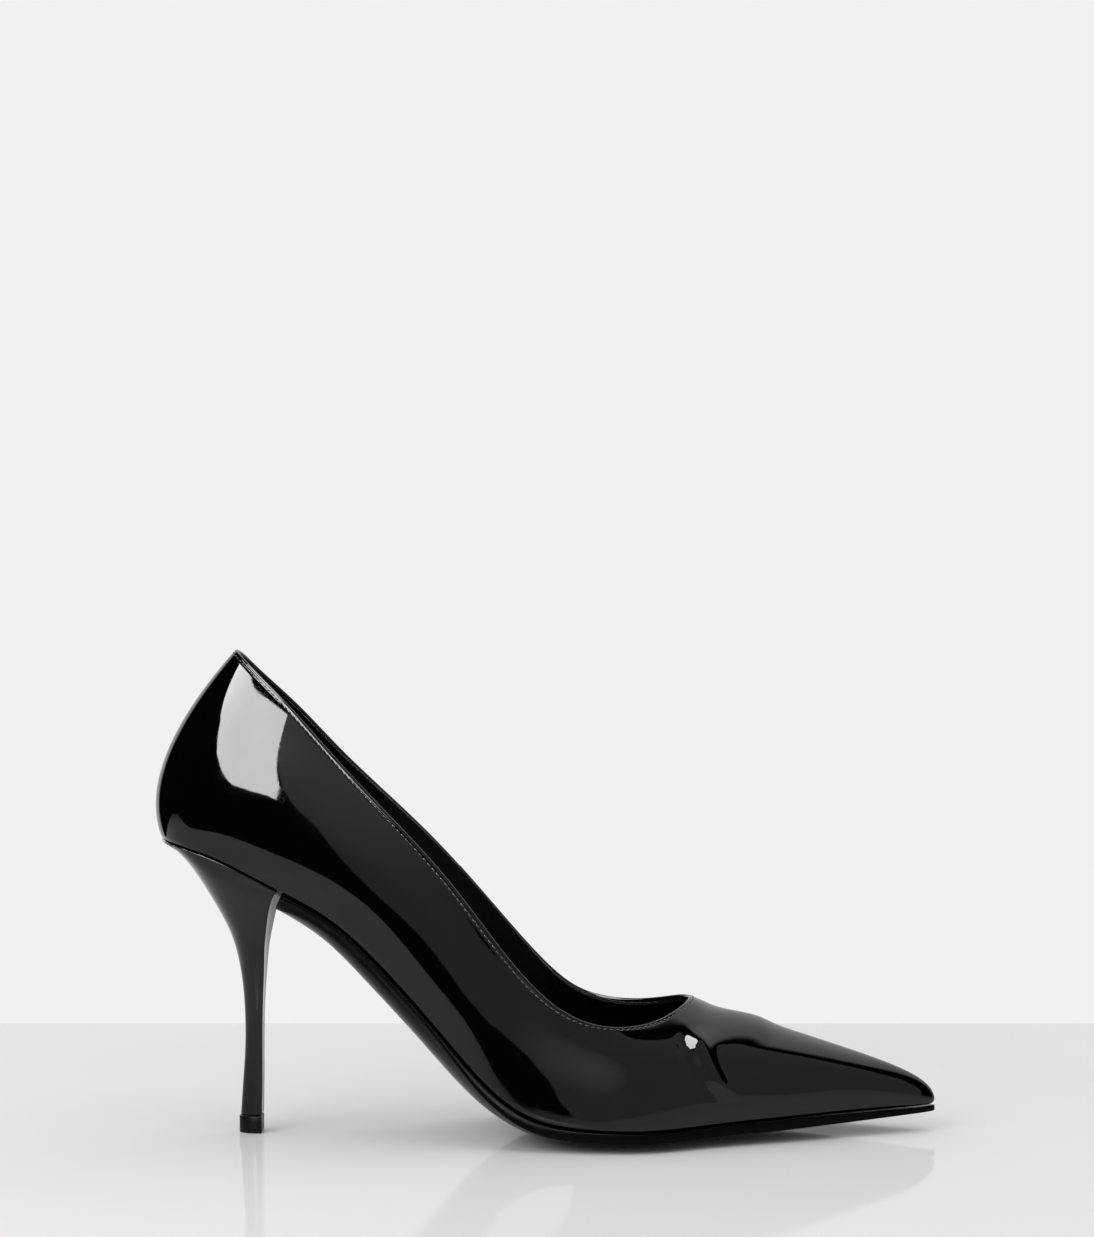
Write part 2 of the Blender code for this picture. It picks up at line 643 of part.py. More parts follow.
def make_heel(leather, plastic, steel):
    """The moulded heel, its leather cover and the steel tube in its stem."""
    shell("heel_cover", heel_wall(0), heel_wall(HEEL_COVER_THICK), leather, ring=True)
    wall = heel_wall(HEEL_CORE_INSET)
    cap = seat_cap(-GAP - HEEL_CORE_INSET / 2, wall[0])
    core = make_solid("heel_core", [wall, cap, disc(wall[-1])], plastic)
    circle = circle_about((0, 0, 1), 20)
    ends = [on_stem(TUBE_LOW), on_stem(TUBE_HIGH)]
    outer = np.array([end + circle * TUBE_RADIUS for end in ends])
    inner = np.array([end + circle * TUBE_BORE for end in ends])
    shell("heel_tube", outer, inner, steel, ring=True)
    top = on_stem(TUBE_HIGH + GAP)
    bore = round_bar("stem_bore", TUBE_RADIUS + HOLE_CLEARANCE, on_stem(-HOLE_OPENING), top, steel)
    return core, bore


def make_top_piece(rubber, steel):
    """The tip that wears, and the pin that holds it in the tube."""
    ring = heel_ring(len(HEEL_LEVELS) - 1, 0)[:, :2]
    start, end = ring.min(0), ring.max(0)
    scale = np.array([TIP_FRONT - TIP_BACK, 2 * TIP_HALF_WIDTH]) / (end - start)
    outline = (ring - start) * scale + [TIP_BACK, -TIP_HALF_WIDTH]
    middle = outline[:-1].mean(0)
    rows = []
    levels = [(TIP_EDGE, 0.0), (0.0, TIP_EDGE), (0.0, TIP_HEIGHT - TIP_EDGE), (TIP_EDGE, TIP_HEIGHT)]
    for inset, z in levels:
        shrunk = middle + (outline - middle) * (1 - inset / TIP_HALF_WIDTH)
        rows.append(np.column_stack([shrunk, np.full(len(outline), z)]))
    tip = make_solid("top_piece", [np.array(rows), disc(rows[0]), disc(rows[-1])], rubber)
    round_bar("top_piece_pin", PIN_RADIUS, on_stem(PIN_LOW), on_stem(PIN_HIGH), steel)
    bottom = on_stem(PIN_LOW - HOLE_CLEARANCE)
    cut(tip, [round_bar("pin_socket", PIN_RADIUS + HOLE_CLEARANCE, bottom, on_stem(PIN_HIGH), steel)])


def make_fasteners(core, bore, board, shank, steel):
    """The screw and nails that hold the heel, and the rivets that hold the shank."""
    bars = [("heel_screw", (SCREW_X, 0.0), SCREW_SIZE)]
    bars += [(f"heel_nail_{k}", place, NAIL_SIZE) for k, place in enumerate(NAIL_PLACES, 1)]
    holes = []
    for name, place, size in bars:
        start = under_foot(np.array(place), BOARD_HIGH - SUNK)
        down = -up_at(place[0])
        headed_bar(name, size, start, down, steel)
        holes.append(bar_hole(name + "_hole", size, start, down, steel))
    cut(core, [bore, *holes])

    rivet_holes = []
    for k, x in enumerate(RIVET_X, 1):
        place = np.array([x, middle_at(x)])
        low = under_foot(place, SHANK_LOW + SUNK)
        high = under_foot(place, BOARD_HIGH - SUNK)
        round_bar(f"shank_rivet_{k}", RIVET_RADIUS, low, high, steel)
        beyond = up_at(x) * HOLE_OPENING
        hole = round_bar(f"rivet_hole_{k}", RIVET_RADIUS + GAP, low - beyond, high + beyond, steel)
        rivet_holes.append(hole)
    cut(board, holes + rivet_holes)
    cut(shank, [holes[0], *rivet_holes])


def main():
    clear_scene()
    patent = make_material("patent_leather", (0.004, 0.004, 0.005), 0.05, coat=1.0)
    lining = make_material("lining_leather", (0.012, 0.012, 0.013), 0.45)
    sole = make_material("sole_leather", (0.008, 0.008, 0.009), 0.25)
    board = make_material("fibreboard", (0.45, 0.33, 0.22), 0.85)
    stiffener = make_material("stiffener", (0.75, 0.72, 0.65), 0.8)
    tape = make_material("tape", (0.05, 0.05, 0.05), 0.8)
    foam = make_material("foam", (0.75, 0.72, 0.6), 0.95)
    cork = make_material("cork", (0.42, 0.27, 0.15), 0.95)
    steel = make_material("steel", (0.6, 0.6, 0.62), 0.3, metallic=1.0)
    plastic = make_material("heel_plastic", (0.03, 0.03, 0.03), 0.4)
    rubber = make_material("top_piece_rubber", (0.01, 0.01, 0.01), 0.45)

    make_upper(patent, lining, stiffener, tape)
    make_outsole(sole)
    insole, shank = make_bottom(board, lining, foam, steel, cork)
    core, bore = make_heel(patent, plastic, steel)
    make_top_piece(rubber, steel)
    make_fasteners(core, bore, insole, shank, steel)


main()
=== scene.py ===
"""Finished look of the high heel pump: patent leather, lining, sock, sole, heel and the studio round it.

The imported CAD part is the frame, in metres: +X to the toe, +Y to the inner side of the foot, +Z up.
The surfaces are worked out here in millimetres from the same last as the CAD part. A parameter t runs
round the shoe: 0 at the back seam, along the outer side to TOE at the tip, and back along the inner
side to LOOP. A parameter v climbs the side from the feather line (0) to the topline (1).
"""

import math

import bpy  # noqa: E402
import numpy as np  # noqa: E402
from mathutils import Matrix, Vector  # noqa: E402

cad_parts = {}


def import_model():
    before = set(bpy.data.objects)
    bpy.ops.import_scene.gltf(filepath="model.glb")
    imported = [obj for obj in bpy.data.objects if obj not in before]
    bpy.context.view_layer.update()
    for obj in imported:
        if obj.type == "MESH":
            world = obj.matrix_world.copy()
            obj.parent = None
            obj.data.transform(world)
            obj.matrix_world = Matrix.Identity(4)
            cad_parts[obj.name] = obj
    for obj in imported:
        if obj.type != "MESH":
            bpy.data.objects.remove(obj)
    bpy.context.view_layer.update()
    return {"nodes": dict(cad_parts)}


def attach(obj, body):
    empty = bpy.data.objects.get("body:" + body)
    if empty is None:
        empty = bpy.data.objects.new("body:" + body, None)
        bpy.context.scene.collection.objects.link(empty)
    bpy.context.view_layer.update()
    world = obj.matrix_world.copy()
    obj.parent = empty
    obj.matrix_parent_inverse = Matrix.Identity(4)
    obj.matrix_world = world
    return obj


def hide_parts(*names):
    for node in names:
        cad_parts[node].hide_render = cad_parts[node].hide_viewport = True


MM = 0.001  # metres in a millimetre
SHIFT = np.array([0.0, 2.6, 0.0])  # from the last's own middle to the middle of the whole shoe

# Heights of the feather line above the floor, along the shoe: seat, arch, ball and toe spring.
FEATHER_PROFILE = [
    (-121, 89.6), (-115.3, 88.4), (-97, 83.0), (-79, 73.9), (-61, 63.5), (-45, 48.2), (-31.2, 33.2),
    (-18, 18.7), (-4, 9.3), (12, 6.6), (30, 6.1), (60, 7.0), (90, 7.7), (120, 8.2),
]  # fmt: skip

# Stations from heel to toe: feather x and y, then topline x, y and z.
LATERAL = [
    (-115.3, 0.0, -93.0, 0.0, 144.8),
    (-113.4, -9.5, -91.2, -6.6, 143.0),
    (-107.6, -17.2, -85.4, -13.4, 137.8),
    (-97.5, -20.1, -74.5, -19.2, 127.2),
    (-83.0, -21.0, -61.5, -22.2, 113.0),
    (-66.5, -21.6, -46.0, -24.8, 96.6),
    (-51.0, -22.7, -29.5, -27.4, 78.8),
    (-36.5, -25.6, -14.5, -30.0, 59.6),
    (-23.0, -29.4, -2.5, -31.4, 46.0),
    (-8.0, -34.2, 7.5, -30.4, 38.8),
    (10.0, -37.9, 16.5, -28.2, 35.7),
    (29.0, -38.0, 24.5, -24.8, 35.1),
    (48.0, -29.2, 31.2, -20.2, 35.9),
    (66.0, -21.9, 36.4, -15.0, 37.6),
    (83.0, -14.2, 40.0, -9.6, 39.2),
    (98.0, -7.8, 41.9, -5.0, 40.2),
    (110.0, -2.8, 42.6, -1.6, 40.6),
    (116.6, 1.7, 42.8, 0.6, 40.7),
]
MEDIAL = [
    (-113.4, 9.5, -91.2, 6.6, 143.0),
    (-107.6, 17.8, -85.6, 13.4, 137.0),
    (-97.5, 22.2, -75.0, 19.0, 126.6),
    (-83.0, 20.6, -62.2, 21.6, 113.0),
    (-66.5, 16.4, -46.8, 23.4, 98.0),
    (-51.0, 14.8, -30.5, 25.2, 81.6),
    (-36.5, 17.0, -15.5, 27.2, 64.4),
    (-23.0, 22.6, -3.0, 28.6, 50.4),
    (-8.0, 28.8, 7.5, 28.4, 41.4),
    (10.0, 33.0, 16.5, 26.8, 37.9),
    (29.0, 33.6, 24.5, 24.0, 37.1),
    (48.0, 30.6, 31.2, 19.8, 37.7),
    (66.0, 25.0, 36.4, 15.0, 38.9),
    (83.0, 18.4, 40.0, 10.0, 40.0),
    (98.0, 11.8, 41.9, 5.8, 40.5),
    (110.0, 5.8, 42.6, 2.6, 40.7),
]
TOE = len(LATERAL) - 1
LOOP = TOE + len(MEDIAL) + 1

# How each station's side is curved, from heel to toe, the same on both sides of the foot.
LOW_BULGE = [9.6, 8.1, 6, 4.7, 5, 6.7, 6.7, 5.3, 2.9, 0.6, -0.6, -0.2, 0.2, 0.4, 1.7, 2.3, 1.4, 1.2]
LOW_RISE = [
    16, 16, 16.1, 15.6, 14, 11.8, 10.6, 10, 9.5,
    9.8, 10.2, 10.7, 11.5, 12.1, 12.3, 11.8, 11.1, 10.5,
]  # fmt: skip
HIGH_SHARE = [
    0.37, 0.36, 0.35, 0.34, 0.34, 0.35, 0.37, 0.37, 0.39,
    0.4, 0.41, 0.45, 0.49, 0.55, 0.62, 0.68, 0.72, 0.74,
]  # fmt: skip
HIGH_LIFT = [0, 0, 0, 0, 0, 0, 0, 0, 0.5, 1.5, 3, 4.5, 5.6, 6.0, 6.0, 5.6, 5.3, 5.2]
HIGH_BULGE = [
    10.4, 9.1, 7.4, 6.1, 4.4, 2.4, 1.2, 0.3, 1,
    3.7, 5.6, 6.9, 7.9, 7.9, 7.1, 5.5, 2.8, -0.5,
]  # fmt: skip
INWARD_STEP = [24, 22, 16, 7, 0, 0, 0, 0, 0, 0, 0, 0, 0, 0, 0, -4, -12, -26]

# Sag of the bottom's middle below its edges, by station: seat, arch, ball, toe.
BOTTOM_SAG = [0.0, 0.8, 1.6, 2.0, 2.6, 3.4, 4.0, 4.0, 3.9, 3.7, 3.5, 3.3, 2.9, 2.3, 1.6, 0.9, 0.4, 0.0]
SAG_POWER = 2.6

# Layers, measured inwards from the outer face of the upper.
UPPER_THICK = 1.0
FEATHER_TURN = 1.6  # how far from the feather line the leather starts to bend round it
FOLD_THICK, FOLD_RADIUS, FOLD_REACH = 1.3, 0.65, 4.0  # the topline's folded edge
LINING_TOP_DEPTH, LINING_THICK, LINING_BELOW = 1.38, 0.7, 0.9
LINING_LAP, LINING_OVERLAP = 0.5, 0.35
COUNTER_ROOM, PUFF_ROOM = 1.5, 0.8  # how much further in the lining runs over the two stiffeners
GAP = 0.3

# Heights of the bottom's layers above the feather line.
OUTSOLE_TOP, OUTSOLE_THICK = -0.4, 3.0
MARGIN_WIDTHS = (9.0, 5.5, 3.2)
BOARD_HIGH = 3.1
SOCK_LOW, SOCK_THICK = 3.4, 0.8
PAD_THICK = 1.5

# Stations of the seams, and how the seams look.
BREAST = 4.25
INNER_SEAM = 27.75
LINING_SEAM = 8.6
SEAM_HALF_GAP, SEAM_GROOVE, SEAM_WIDTH = 0.004, 0.3, 0.7
LAP_LIFT, LAP_LENGTH = 0.55, 0.9
CREASE_X, CREASE_Z, CREASE_LEAN, CREASE_BEND = 39.9, 31.0, 0.2, 0.018
CREASE_DEPTH, BUMP_HEIGHT = 0.55, 1.1
RIDGE_DIP, RIDGE_RISE = -0.5, 0.8

# Stitching along the topline.
STITCH_START = 0.12  # station of the first stitch
STITCH_BELOW, STITCH_PITCH = 1.35, 1.9
STITCH_GROOVE, STITCH_GROOVE_WIDTH = 0.12, 0.32
STITCH_LENGTH, STITCH_RADIUS, STITCH_SLANT, STITCH_SINK = 1.35, 0.17, 6.0, 0.56

# Fineness of the meshes.
VAMP_COLUMNS, QUARTER_COLUMNS, SIDE_ROWS, FEATHER_ROWS, FOLD_ROWS, BEND_ROWS = 900, 240, 84, 7, 26, 13
LINING_COLUMNS, LINING_ROWS = 420, 48
HEEL_BACK_POINTS, HEEL_BREAST_POINTS, HEEL_ROWS, HEEL_INSIDE_ROWS, RING_POINTS = 144, 48, 150, 40, 220
STITCH_RINGS, STITCH_SIDES, STITCH_PATH_POINTS = 7, 8, 4000

# Heel, from the seat down: back x and z, front x and z, half-width.
HEEL_LEVELS = [
    (-109.3, 83.4, -80.6, 70.9, 20.9),
    (-103.4, 75.4, -82.0, 66.2, 17.0),
    (-98.0, 66.4, -83.1, 60.2, 12.4),
    (-94.3, 58.6, -83.8, 55.2, 8.9),
    (-92.0, 50.0, -84.2, 48.6, 6.1),
    (-90.7, 39.4, -84.7, 39.0, 4.4),
    (-90.4, 27.0, -84.9, 27.0, 3.8),
    (-91.0, 16.0, -84.9, 16.0, 3.7),
    (-91.7, 5.3, -85.1, 5.3, 3.9),
]
HEEL_COVER_THICK, HEEL_CORNER_RADIUS, HEEL_TIP_ROUNDING = 0.45, 0.55, 0.35
TIP_BACK, TIP_FRONT, TIP_HALF_WIDTH = -92.1, -85.1, 4.1
TIP_PROFILE = [(0.35, 0.0), (0.1, 0.08), (0.0, 0.35), (0.0, 4.7), (0.08, 4.92), (0.3, 5.0)]  # inset, z

# Studio, in metres and in linear light.
CAMERA_PLACE, CAMERA_LENS = (0.0001, -0.8695, 0.1538), 84.6
FLOOR_BEHIND, FLOOR_FRONT = 0.235, -0.237
FLOOR_DARK, FLOOR_LIGHT = (0.68, 0.67, 0.68), (0.73, 0.72, 0.73)
BACKGROUND, DOME, DARK_ROOM = 0.879, 0.85, 0.002
WALL_START, WALL_FULL, WALL_SKEW = 0.47, 0.57, 0.35
CEILING_POWER, KEY_POWER = 3.2, 4.0
STUDIO_MIDDLE, STUDIO_RADIUS = np.array([0.0, 0.0, 60.0]), 550.0  # millimetres
REFLECTOR_COLUMNS, REFLECTOR_ROWS = 65, 17

# Lit panels: lower and upper edge, from the heel's side to the toe's, then radiance. Each corner is
# an azimuth (0 towards the camera) and an elevation in degrees.
REFLECTORS = {
    "key_softbox": (
        [
            (-100, 43.5), (-87, 41), (-70, 37), (-57, 30), (-45, 22),
            (-36, 14), (-30, 8), (-24, 4.5), (-19, 4), (-16.2, 9),
        ],
        [
            (-100, 45.5), (-87, 47.5), (-78, 48.5), (-62, 49.5), (-43, 48),
            (-31, 47), (-22, 45), (-17, 43.5), (-12.8, 42),
        ],
        16.5,
    ),
    "front_panel": (
        [
            (-15.6, 6), (-16.9, 1), (-16.9, -5), (-13, -12), (10, -13), (30, -14), (50, -14),
            (66, -12), (76, 20), (88, 35), (97, 43), (104, 47), (108, 50),
        ],
        [
            (-12.2, 44), (2, 60), (20, 70), (45, 75), (70, 75),
            (90, 71), (100, 66), (106, 60), (109, 54),
        ],
        1.05,
    ),
    "top_softbox": (
        [(-180, 74), (-60, 70), (-10, 63), (6, 65), (16, 72), (40, 72), (180, 81)],
        [(-180, 89.5), (180, 89.5)],
        16.5,
    ),
}  # fmt: skip
REFLECTOR_UNEVEN = 0.07  # how far the cloth's brightness strays from its mean

# A reflector's brightest place in metres, the distances over which it fades, its least and its most share.
HOT_SPOTS = {"front_panel": ((-0.17, -0.48, 0.36), 0.05, 0.3, 0.4, 1.2)}


def natural_spline(knots, values):
    """A smooth curve through (knot, value) pairs, as a function of an array."""
    x, y = np.asarray(knots, float), np.asarray(values, float)
    y = y.reshape(len(x), -1)
    h = np.diff(x)
    a, b = np.eye(len(x)), np.zeros_like(y)
    for i in range(1, len(x) - 1):
        a[i, i - 1 : i + 2] = h[i - 1], 2 * (h[i - 1] + h[i]), h[i]
        b[i] = 6 * ((y[i + 1] - y[i]) / h[i] - (y[i] - y[i - 1]) / h[i - 1])
    m = np.linalg.solve(a, b)

    def at(t):
        t = np.clip(np.asarray(t, float), x[0], x[-1])
        i = np.clip(np.searchsorted(x, t, side="right") - 1, 0, len(x) - 2)
        step = h[i][..., None]
        to_right, from_left = (x[i + 1] - t)[..., None], (t - x[i])[..., None]
        return (
            (m[i] * to_right**3 + m[i + 1] * from_left**3) / (6 * step)
            + (y[i] / step - m[i] * step / 6) * to_right
            + (y[i + 1] / step - m[i + 1] * step / 6) * from_left
        )

    return at


def loop_spline(values):
    """A smooth closed curve through values at t = 0, 1, 2 and so on, as a function of an array."""
    v = np.asarray(values, float).reshape(len(values), -1)
    n = len(v)
    a = np.eye(n) * 4 / 6 + (np.roll(np.eye(n), 1, 0) + np.roll(np.eye(n), -1, 0)) / 6
    control = np.linalg.solve(a, v)

    def at(t):
        t = np.asarray(t, float) % n
        i, f = np.floor(t).astype(int), (t - np.floor(t))[..., None]
        weights = (
            (1 - f) ** 3 / 6,
            (3 * f**3 - 6 * f**2 + 4) / 6,
            (-3 * f**3 + 3 * f**2 + 3 * f + 1) / 6,
            f**3 / 6,
        )
        return sum(w * control[(i + k - 1) % n] for k, w in enumerate(weights))

    return at


def both_sides(values):
    """Station values from heel to toe, carried on back along the other side."""
    return loop_spline(list(values) + list(values[1:-1])[::-1])


def scalar(curve):
    return lambda t: curve(t)[..., 0]


feather_height = scalar(natural_spline(*zip(*FEATHER_PROFILE)))
STATIONS = np.array(LATERAL + MEDIAL[::-1], float)
feather_loop = loop_spline(np.column_stack([STATIONS[:, :2], feather_height(STATIONS[:, 0])]))
topline_loop = loop_spline(STATIONS[:, 2:])
low_bulge, low_rise, high_share, high_lift, high_bulge, inward_step, bottom_sag = (
    both_sides(values)
    for values in (LOW_BULGE, LOW_RISE, HIGH_SHARE, HIGH_LIFT, HIGH_BULGE, INWARD_STEP, BOTTOM_SAG)
)


SIDE_T = np.linspace(0, TOE, 400)
SIDE_X, OUTER_Y = feather_loop(SIDE_T)[:, :2].T
INNER_X, INNER_Y = feather_loop(LOOP - SIDE_T)[:, :2].T
SIDE_SAG = bottom_sag(SIDE_T)[:, 0]


def smooth_step(x, low, high):
    s = np.clip((np.asarray(x, float) - low) / (high - low), 0, 1)
    return s * s * (3 - 2 * s)


def station(t):
    """How far along its side t is, from 0 at the heel to TOE at the tip."""
    t = np.asarray(t, float) % LOOP
    return np.minimum(t, LOOP - t)


def up_at(x):
    """Unit vectors square to the feather line, seen from the side."""
    slope = feather_height(x + 0.5) - feather_height(x - 0.5)
    length = np.sqrt(1 + slope**2)
    return np.stack([-slope / length, 0 * slope, 1 / length], -1)


def outward_at(t):
    """Unit vectors that point away from the foot, level and square to the feather loop."""
    step = feather_loop(t + 0.02) - feather_loop(t - 0.02)
    out = np.stack([step[..., 1], -step[..., 0], 0 * step[..., 0]], -1)
    return out / np.linalg.norm(out, axis=-1, keepdims=True)


def upper_face(t, v):
    """Points of the upper's outer face: one smooth arch for each t, from feather line to topline."""
    foot, top = feather_loop(t), topline_loop(t)
    out, up = outward_at(t), up_at(foot[..., 0])
    low = foot + out * low_bulge(t) + up * low_rise(t)
    high = top + (foot - top) * high_share(t) + up * high_lift(t) + out * high_bulge(t)
    v = np.asarray(v, float)[..., None]
    u = 1 - v
    return u**3 * foot + 3 * u * u * v * low + 3 * u * v * v * high + v**3 * top


def upper_layer(t, v, depth):
    """Points a given depth inside the upper's outer face."""
    e = 0.01
    low, high = np.clip(v - e, 0, 1), np.clip(v + e, 0, 1)
    along = upper_face(t + e, v) - upper_face(t - e, v)
    across = upper_face(t, high) - upper_face(t, low)
    normal = np.cross(along, across)
    normal /= np.linalg.norm(normal, axis=-1, keepdims=True)
    return upper_face(t, v) - normal * np.asarray(depth)[..., None]


def height_share(t, height):
    """The v at which the side has climbed this high above the feather line."""
    return height / (3 * low_rise(t)[..., 0]) * 1.1


def under_foot(plan, height):
    """Points of a sheet under the foot, for plan positions: level with the feather line at the edges
    and sagging towards the middle."""
    x, y = plan[..., 0], plan[..., 1]
    outer, inner = np.interp(x, SIDE_X, OUTER_Y), np.interp(x, INNER_X, INNER_Y)
    half = np.maximum(inner - outer, 0.2) / 2
    across = np.clip(np.abs(y - (inner + outer) / 2) / half, 0, 1)
    sag = np.interp(x, SIDE_X, SIDE_SAG) * (1 - across**SAG_POWER)
    base = np.stack([x, y, feather_height(x)], -1)
    return base + up_at(x) * (height - sag)[..., None]


def edge_plan(t, inset):
    """Plan positions moved in from the feather line."""
    return (feather_loop(t) - outward_at(t) * np.asarray(inset)[..., None])[..., :2]


def margin_point(t, width, height):
    """A point of the lasting margin, which is turned in under the insole."""
    foot, other = feather_loop(t), feather_loop(LOOP - t)
    target_x = foot[..., 0] + inward_step(t)[..., 0]
    target = np.stack([target_x, (foot[..., 1] + other[..., 1]) / 2], -1)
    way = target - foot[..., :2]
    reach = np.linalg.norm(way, axis=-1, keepdims=True)
    return under_foot(foot[..., :2] + way * np.minimum(0.7, width / reach), height)


def bottom_plate(stations, inset, across, height):
    """A sheet under the foot: rows of points across it, from the lateral edge to the medial one."""
    t = np.asarray(stations, float)
    w = np.linspace(-1, 1, across)
    share = (w + 1)[None, :, None] / 2
    outer, inner = edge_plan(t, inset + 0 * t), edge_plan(LOOP - t, inset + 0 * t)
    plan = outer[:, None] * (1 - share) + inner[:, None] * share
    lift = height(t[:, None], w[None, :]) if callable(height) else height
    return under_foot(plan, lift)


# ---------------------------------------------------------------- meshes


def make_mesh(name, points, faces, material, sharp_angle=None):
    """An object from an array of points in millimetres and an array of quads."""
    mesh = bpy.data.meshes.new(name)
    mesh.vertices.add(len(points))
    mesh.vertices.foreach_set("co", ((points + SHIFT) * MM).astype(np.float32).ravel())
    mesh.loops.add(faces.size)
    mesh.loops.foreach_set("vertex_index", faces.astype(np.int32).ravel())
    mesh.polygons.add(len(faces))
    mesh.polygons.foreach_set("loop_start", np.arange(len(faces), dtype=np.int32) * faces.shape[1])
    mesh.update(calc_edges=True)
    mesh.validate()
    mesh.shade_smooth()
    if sharp_angle:
        mesh.set_sharp_from_angle(angle=math.radians(sharp_angle))
    mesh.materials.append(material)
    obj = bpy.data.objects.new(name, mesh)
    bpy.context.scene.collection.objects.link(obj)
    return obj


def grid_faces(rows, columns, wrap_rows=False, wrap_columns=False):
    """Quads over a grid of points numbered row by row."""
    last_row, last_column = rows - (not wrap_rows), columns - (not wrap_columns)
    i, j = np.meshgrid(np.arange(last_row), np.arange(last_column), indexing="ij")
    below, beside = (i + 1) % rows, (j + 1) % columns
    corners = [i * columns + j, i * columns + beside, below * columns + beside, below * columns + j]
    return np.stack(corners, -1).reshape(-1, 4)


def cap_faces(columns, row_start, flip):
    """Quads that close the end of a tube whose section has an even number of points."""
    k = np.arange(columns // 2 - 1)
    quads = np.stack([k, k + 1, columns - 2 - k, columns - 1 - k], -1) + row_start
    return quads[:, ::-1] if flip else quads


def tube_solid(name, sections, material, sharp_angle=None):
    """A closed body from a row of closed sections, each with an even number of points."""
    rows, columns = sections.shape[:2]
    faces = [
        grid_faces(rows, columns, wrap_columns=True),
        cap_faces(columns, 0, False),
        cap_faces(columns, (rows - 1) * columns, True),
    ]
    return solid_from(name, sections, np.concatenate(faces), material, sharp_angle)


def solid_from(name, grid, faces, material, sharp_angle=None):
    """A body from a grid of points, with its faces turned outwards."""
    points = grid.reshape(-1, 3)
    if signed_volume(points, faces) < 0:
        faces = faces[:, ::-1]
    return make_mesh(name, points, faces, material, sharp_angle)


def even_sections(rows):
    """Sections from rows of points that each run along the body, with an even number in each section."""
    if len(rows) % 2:
        rows = [*rows, (rows[-1] + rows[0]) / 2]
    return np.array(rows).transpose(1, 0, 2)


def signed_volume(points, faces):
    a, b, c, d = (points[faces[:, k]] for k in range(4))
    return (np.einsum("ij,ij->i", a, np.cross(b, c)) + np.einsum("ij,ij->i", a, np.cross(c, d))).sum() / 6


def bezier_corner(start, corner, end, count):
    """Points of a smooth bend from start to end, pulled towards the corner."""
    s = np.linspace(0, 1, count + 2)[1:-1, None, None]
    return (1 - s) ** 2 * start + 2 * s * (1 - s) * corner + s**2 * end


# ---------------------------------------------------------------- upper


def top_share(t, below):
    """The height v at which a point lies this far below the topline, along the side."""
    speed = 3 * np.linalg.norm(upper_face(t, 1 + 0 * t) - upper_face(t, 0.99 + 0 * t), axis=-1) / 0.03
    return 1 - below / speed


def gauss(x, middle, width):
    return np.exp(-(((x - middle) / width) ** 2))


def relief(t, v):
    """How far the leather stands out of the plain last: a crease and a bump where the toes bend."""
    point = upper_face(t, v)
    x, z = point[..., 0], point[..., 2]
    outer_side = 1 - smooth_step(np.asarray(t) % LOOP, TOE - 1.5, TOE - 0.5)
    drop = CREASE_Z - z
    across = x - (CREASE_X + CREASE_LEAN * drop + CREASE_BEND * drop * np.abs(drop))
    along = smooth_step(z, 13, 20) * (1 - smooth_step(z, 29.5, 34.5))
    crease = BUMP_HEIGHT * gauss(across, 4.5, 3.4) - CREASE_DEPTH * gauss(across, 0, 2.4)
    ridge = RIDGE_DIP * gauss(x, 51.0, 4.0) + RIDGE_RISE * gauss(x, 63.0, 5.5)
    return crease * along * outer_side + ridge * smooth_step(z, 28, 34)


def outer_skin(t, v, depth=0.0):
    """Points of the leather's outer face with its relief, or of a layer at a depth inside it."""
    return upper_layer(t, v, depth - relief(t, v))


def seam_groove(t):
    """The groove along the back seam, as a depth for each t."""
    away = (feather_loop(t) - feather_loop(np.array([0.0]))[0])[..., :2]
    return SEAM_GROOVE * gauss(np.linalg.norm(away, axis=-1), 0, SEAM_WIDTH)


def upper_section(t, lift):
    """The closed section of the upper at each t: margin, feather edge, side, folded top and back."""
    foot = feather_loop(t)
    zero = 0 * t
    rows = [margin_point(t, width, zero) for width in MARGIN_WIDTHS]
    low_v = height_share(t, FEATHER_TURN)
    start, end = margin_point(t, FEATHER_TURN, zero), outer_skin(t, low_v, -lift)
    rows += [start, *bezier_corner(start, foot, end, FEATHER_ROWS), end]
    high_v = top_share(t, FOLD_REACH)
    for share in np.linspace(0, 1, SIDE_ROWS)[1:]:
        rows.append(outer_skin(t, low_v + (high_v - low_v) * share, -lift))
    for below in np.linspace(FOLD_REACH, FOLD_RADIUS, FOLD_ROWS)[1:]:
        stitch_line = STITCH_GROOVE * gauss(below, STITCH_BELOW, STITCH_GROOVE_WIDTH)
        rows.append(outer_skin(t, top_share(t, below), stitch_line - lift))
    for angle in np.linspace(0, math.pi, BEND_ROWS)[1:]:
        below = FOLD_RADIUS * (1 - math.sin(angle))
        depth = FOLD_THICK / 2 * (1 - math.cos(angle))
        rows.append(outer_skin(t, top_share(t, below), depth - lift))
    rows.append(outer_skin(t, top_share(t, 4.5), FOLD_THICK - lift))
    for share in (0.8, 0.6, 0.4, 0.2, 0.1):
        rows.append(outer_skin(t, top_share(t, 7.0) * share, UPPER_THICK - lift))
    rows.append(under_foot(edge_plan(t, UPPER_THICK), UPPER_THICK))
    rows += [margin_point(t, width, zero + UPPER_THICK) for width in (MARGIN_WIDTHS[-1], MARGIN_WIDTHS[0])]
    return even_sections(rows)


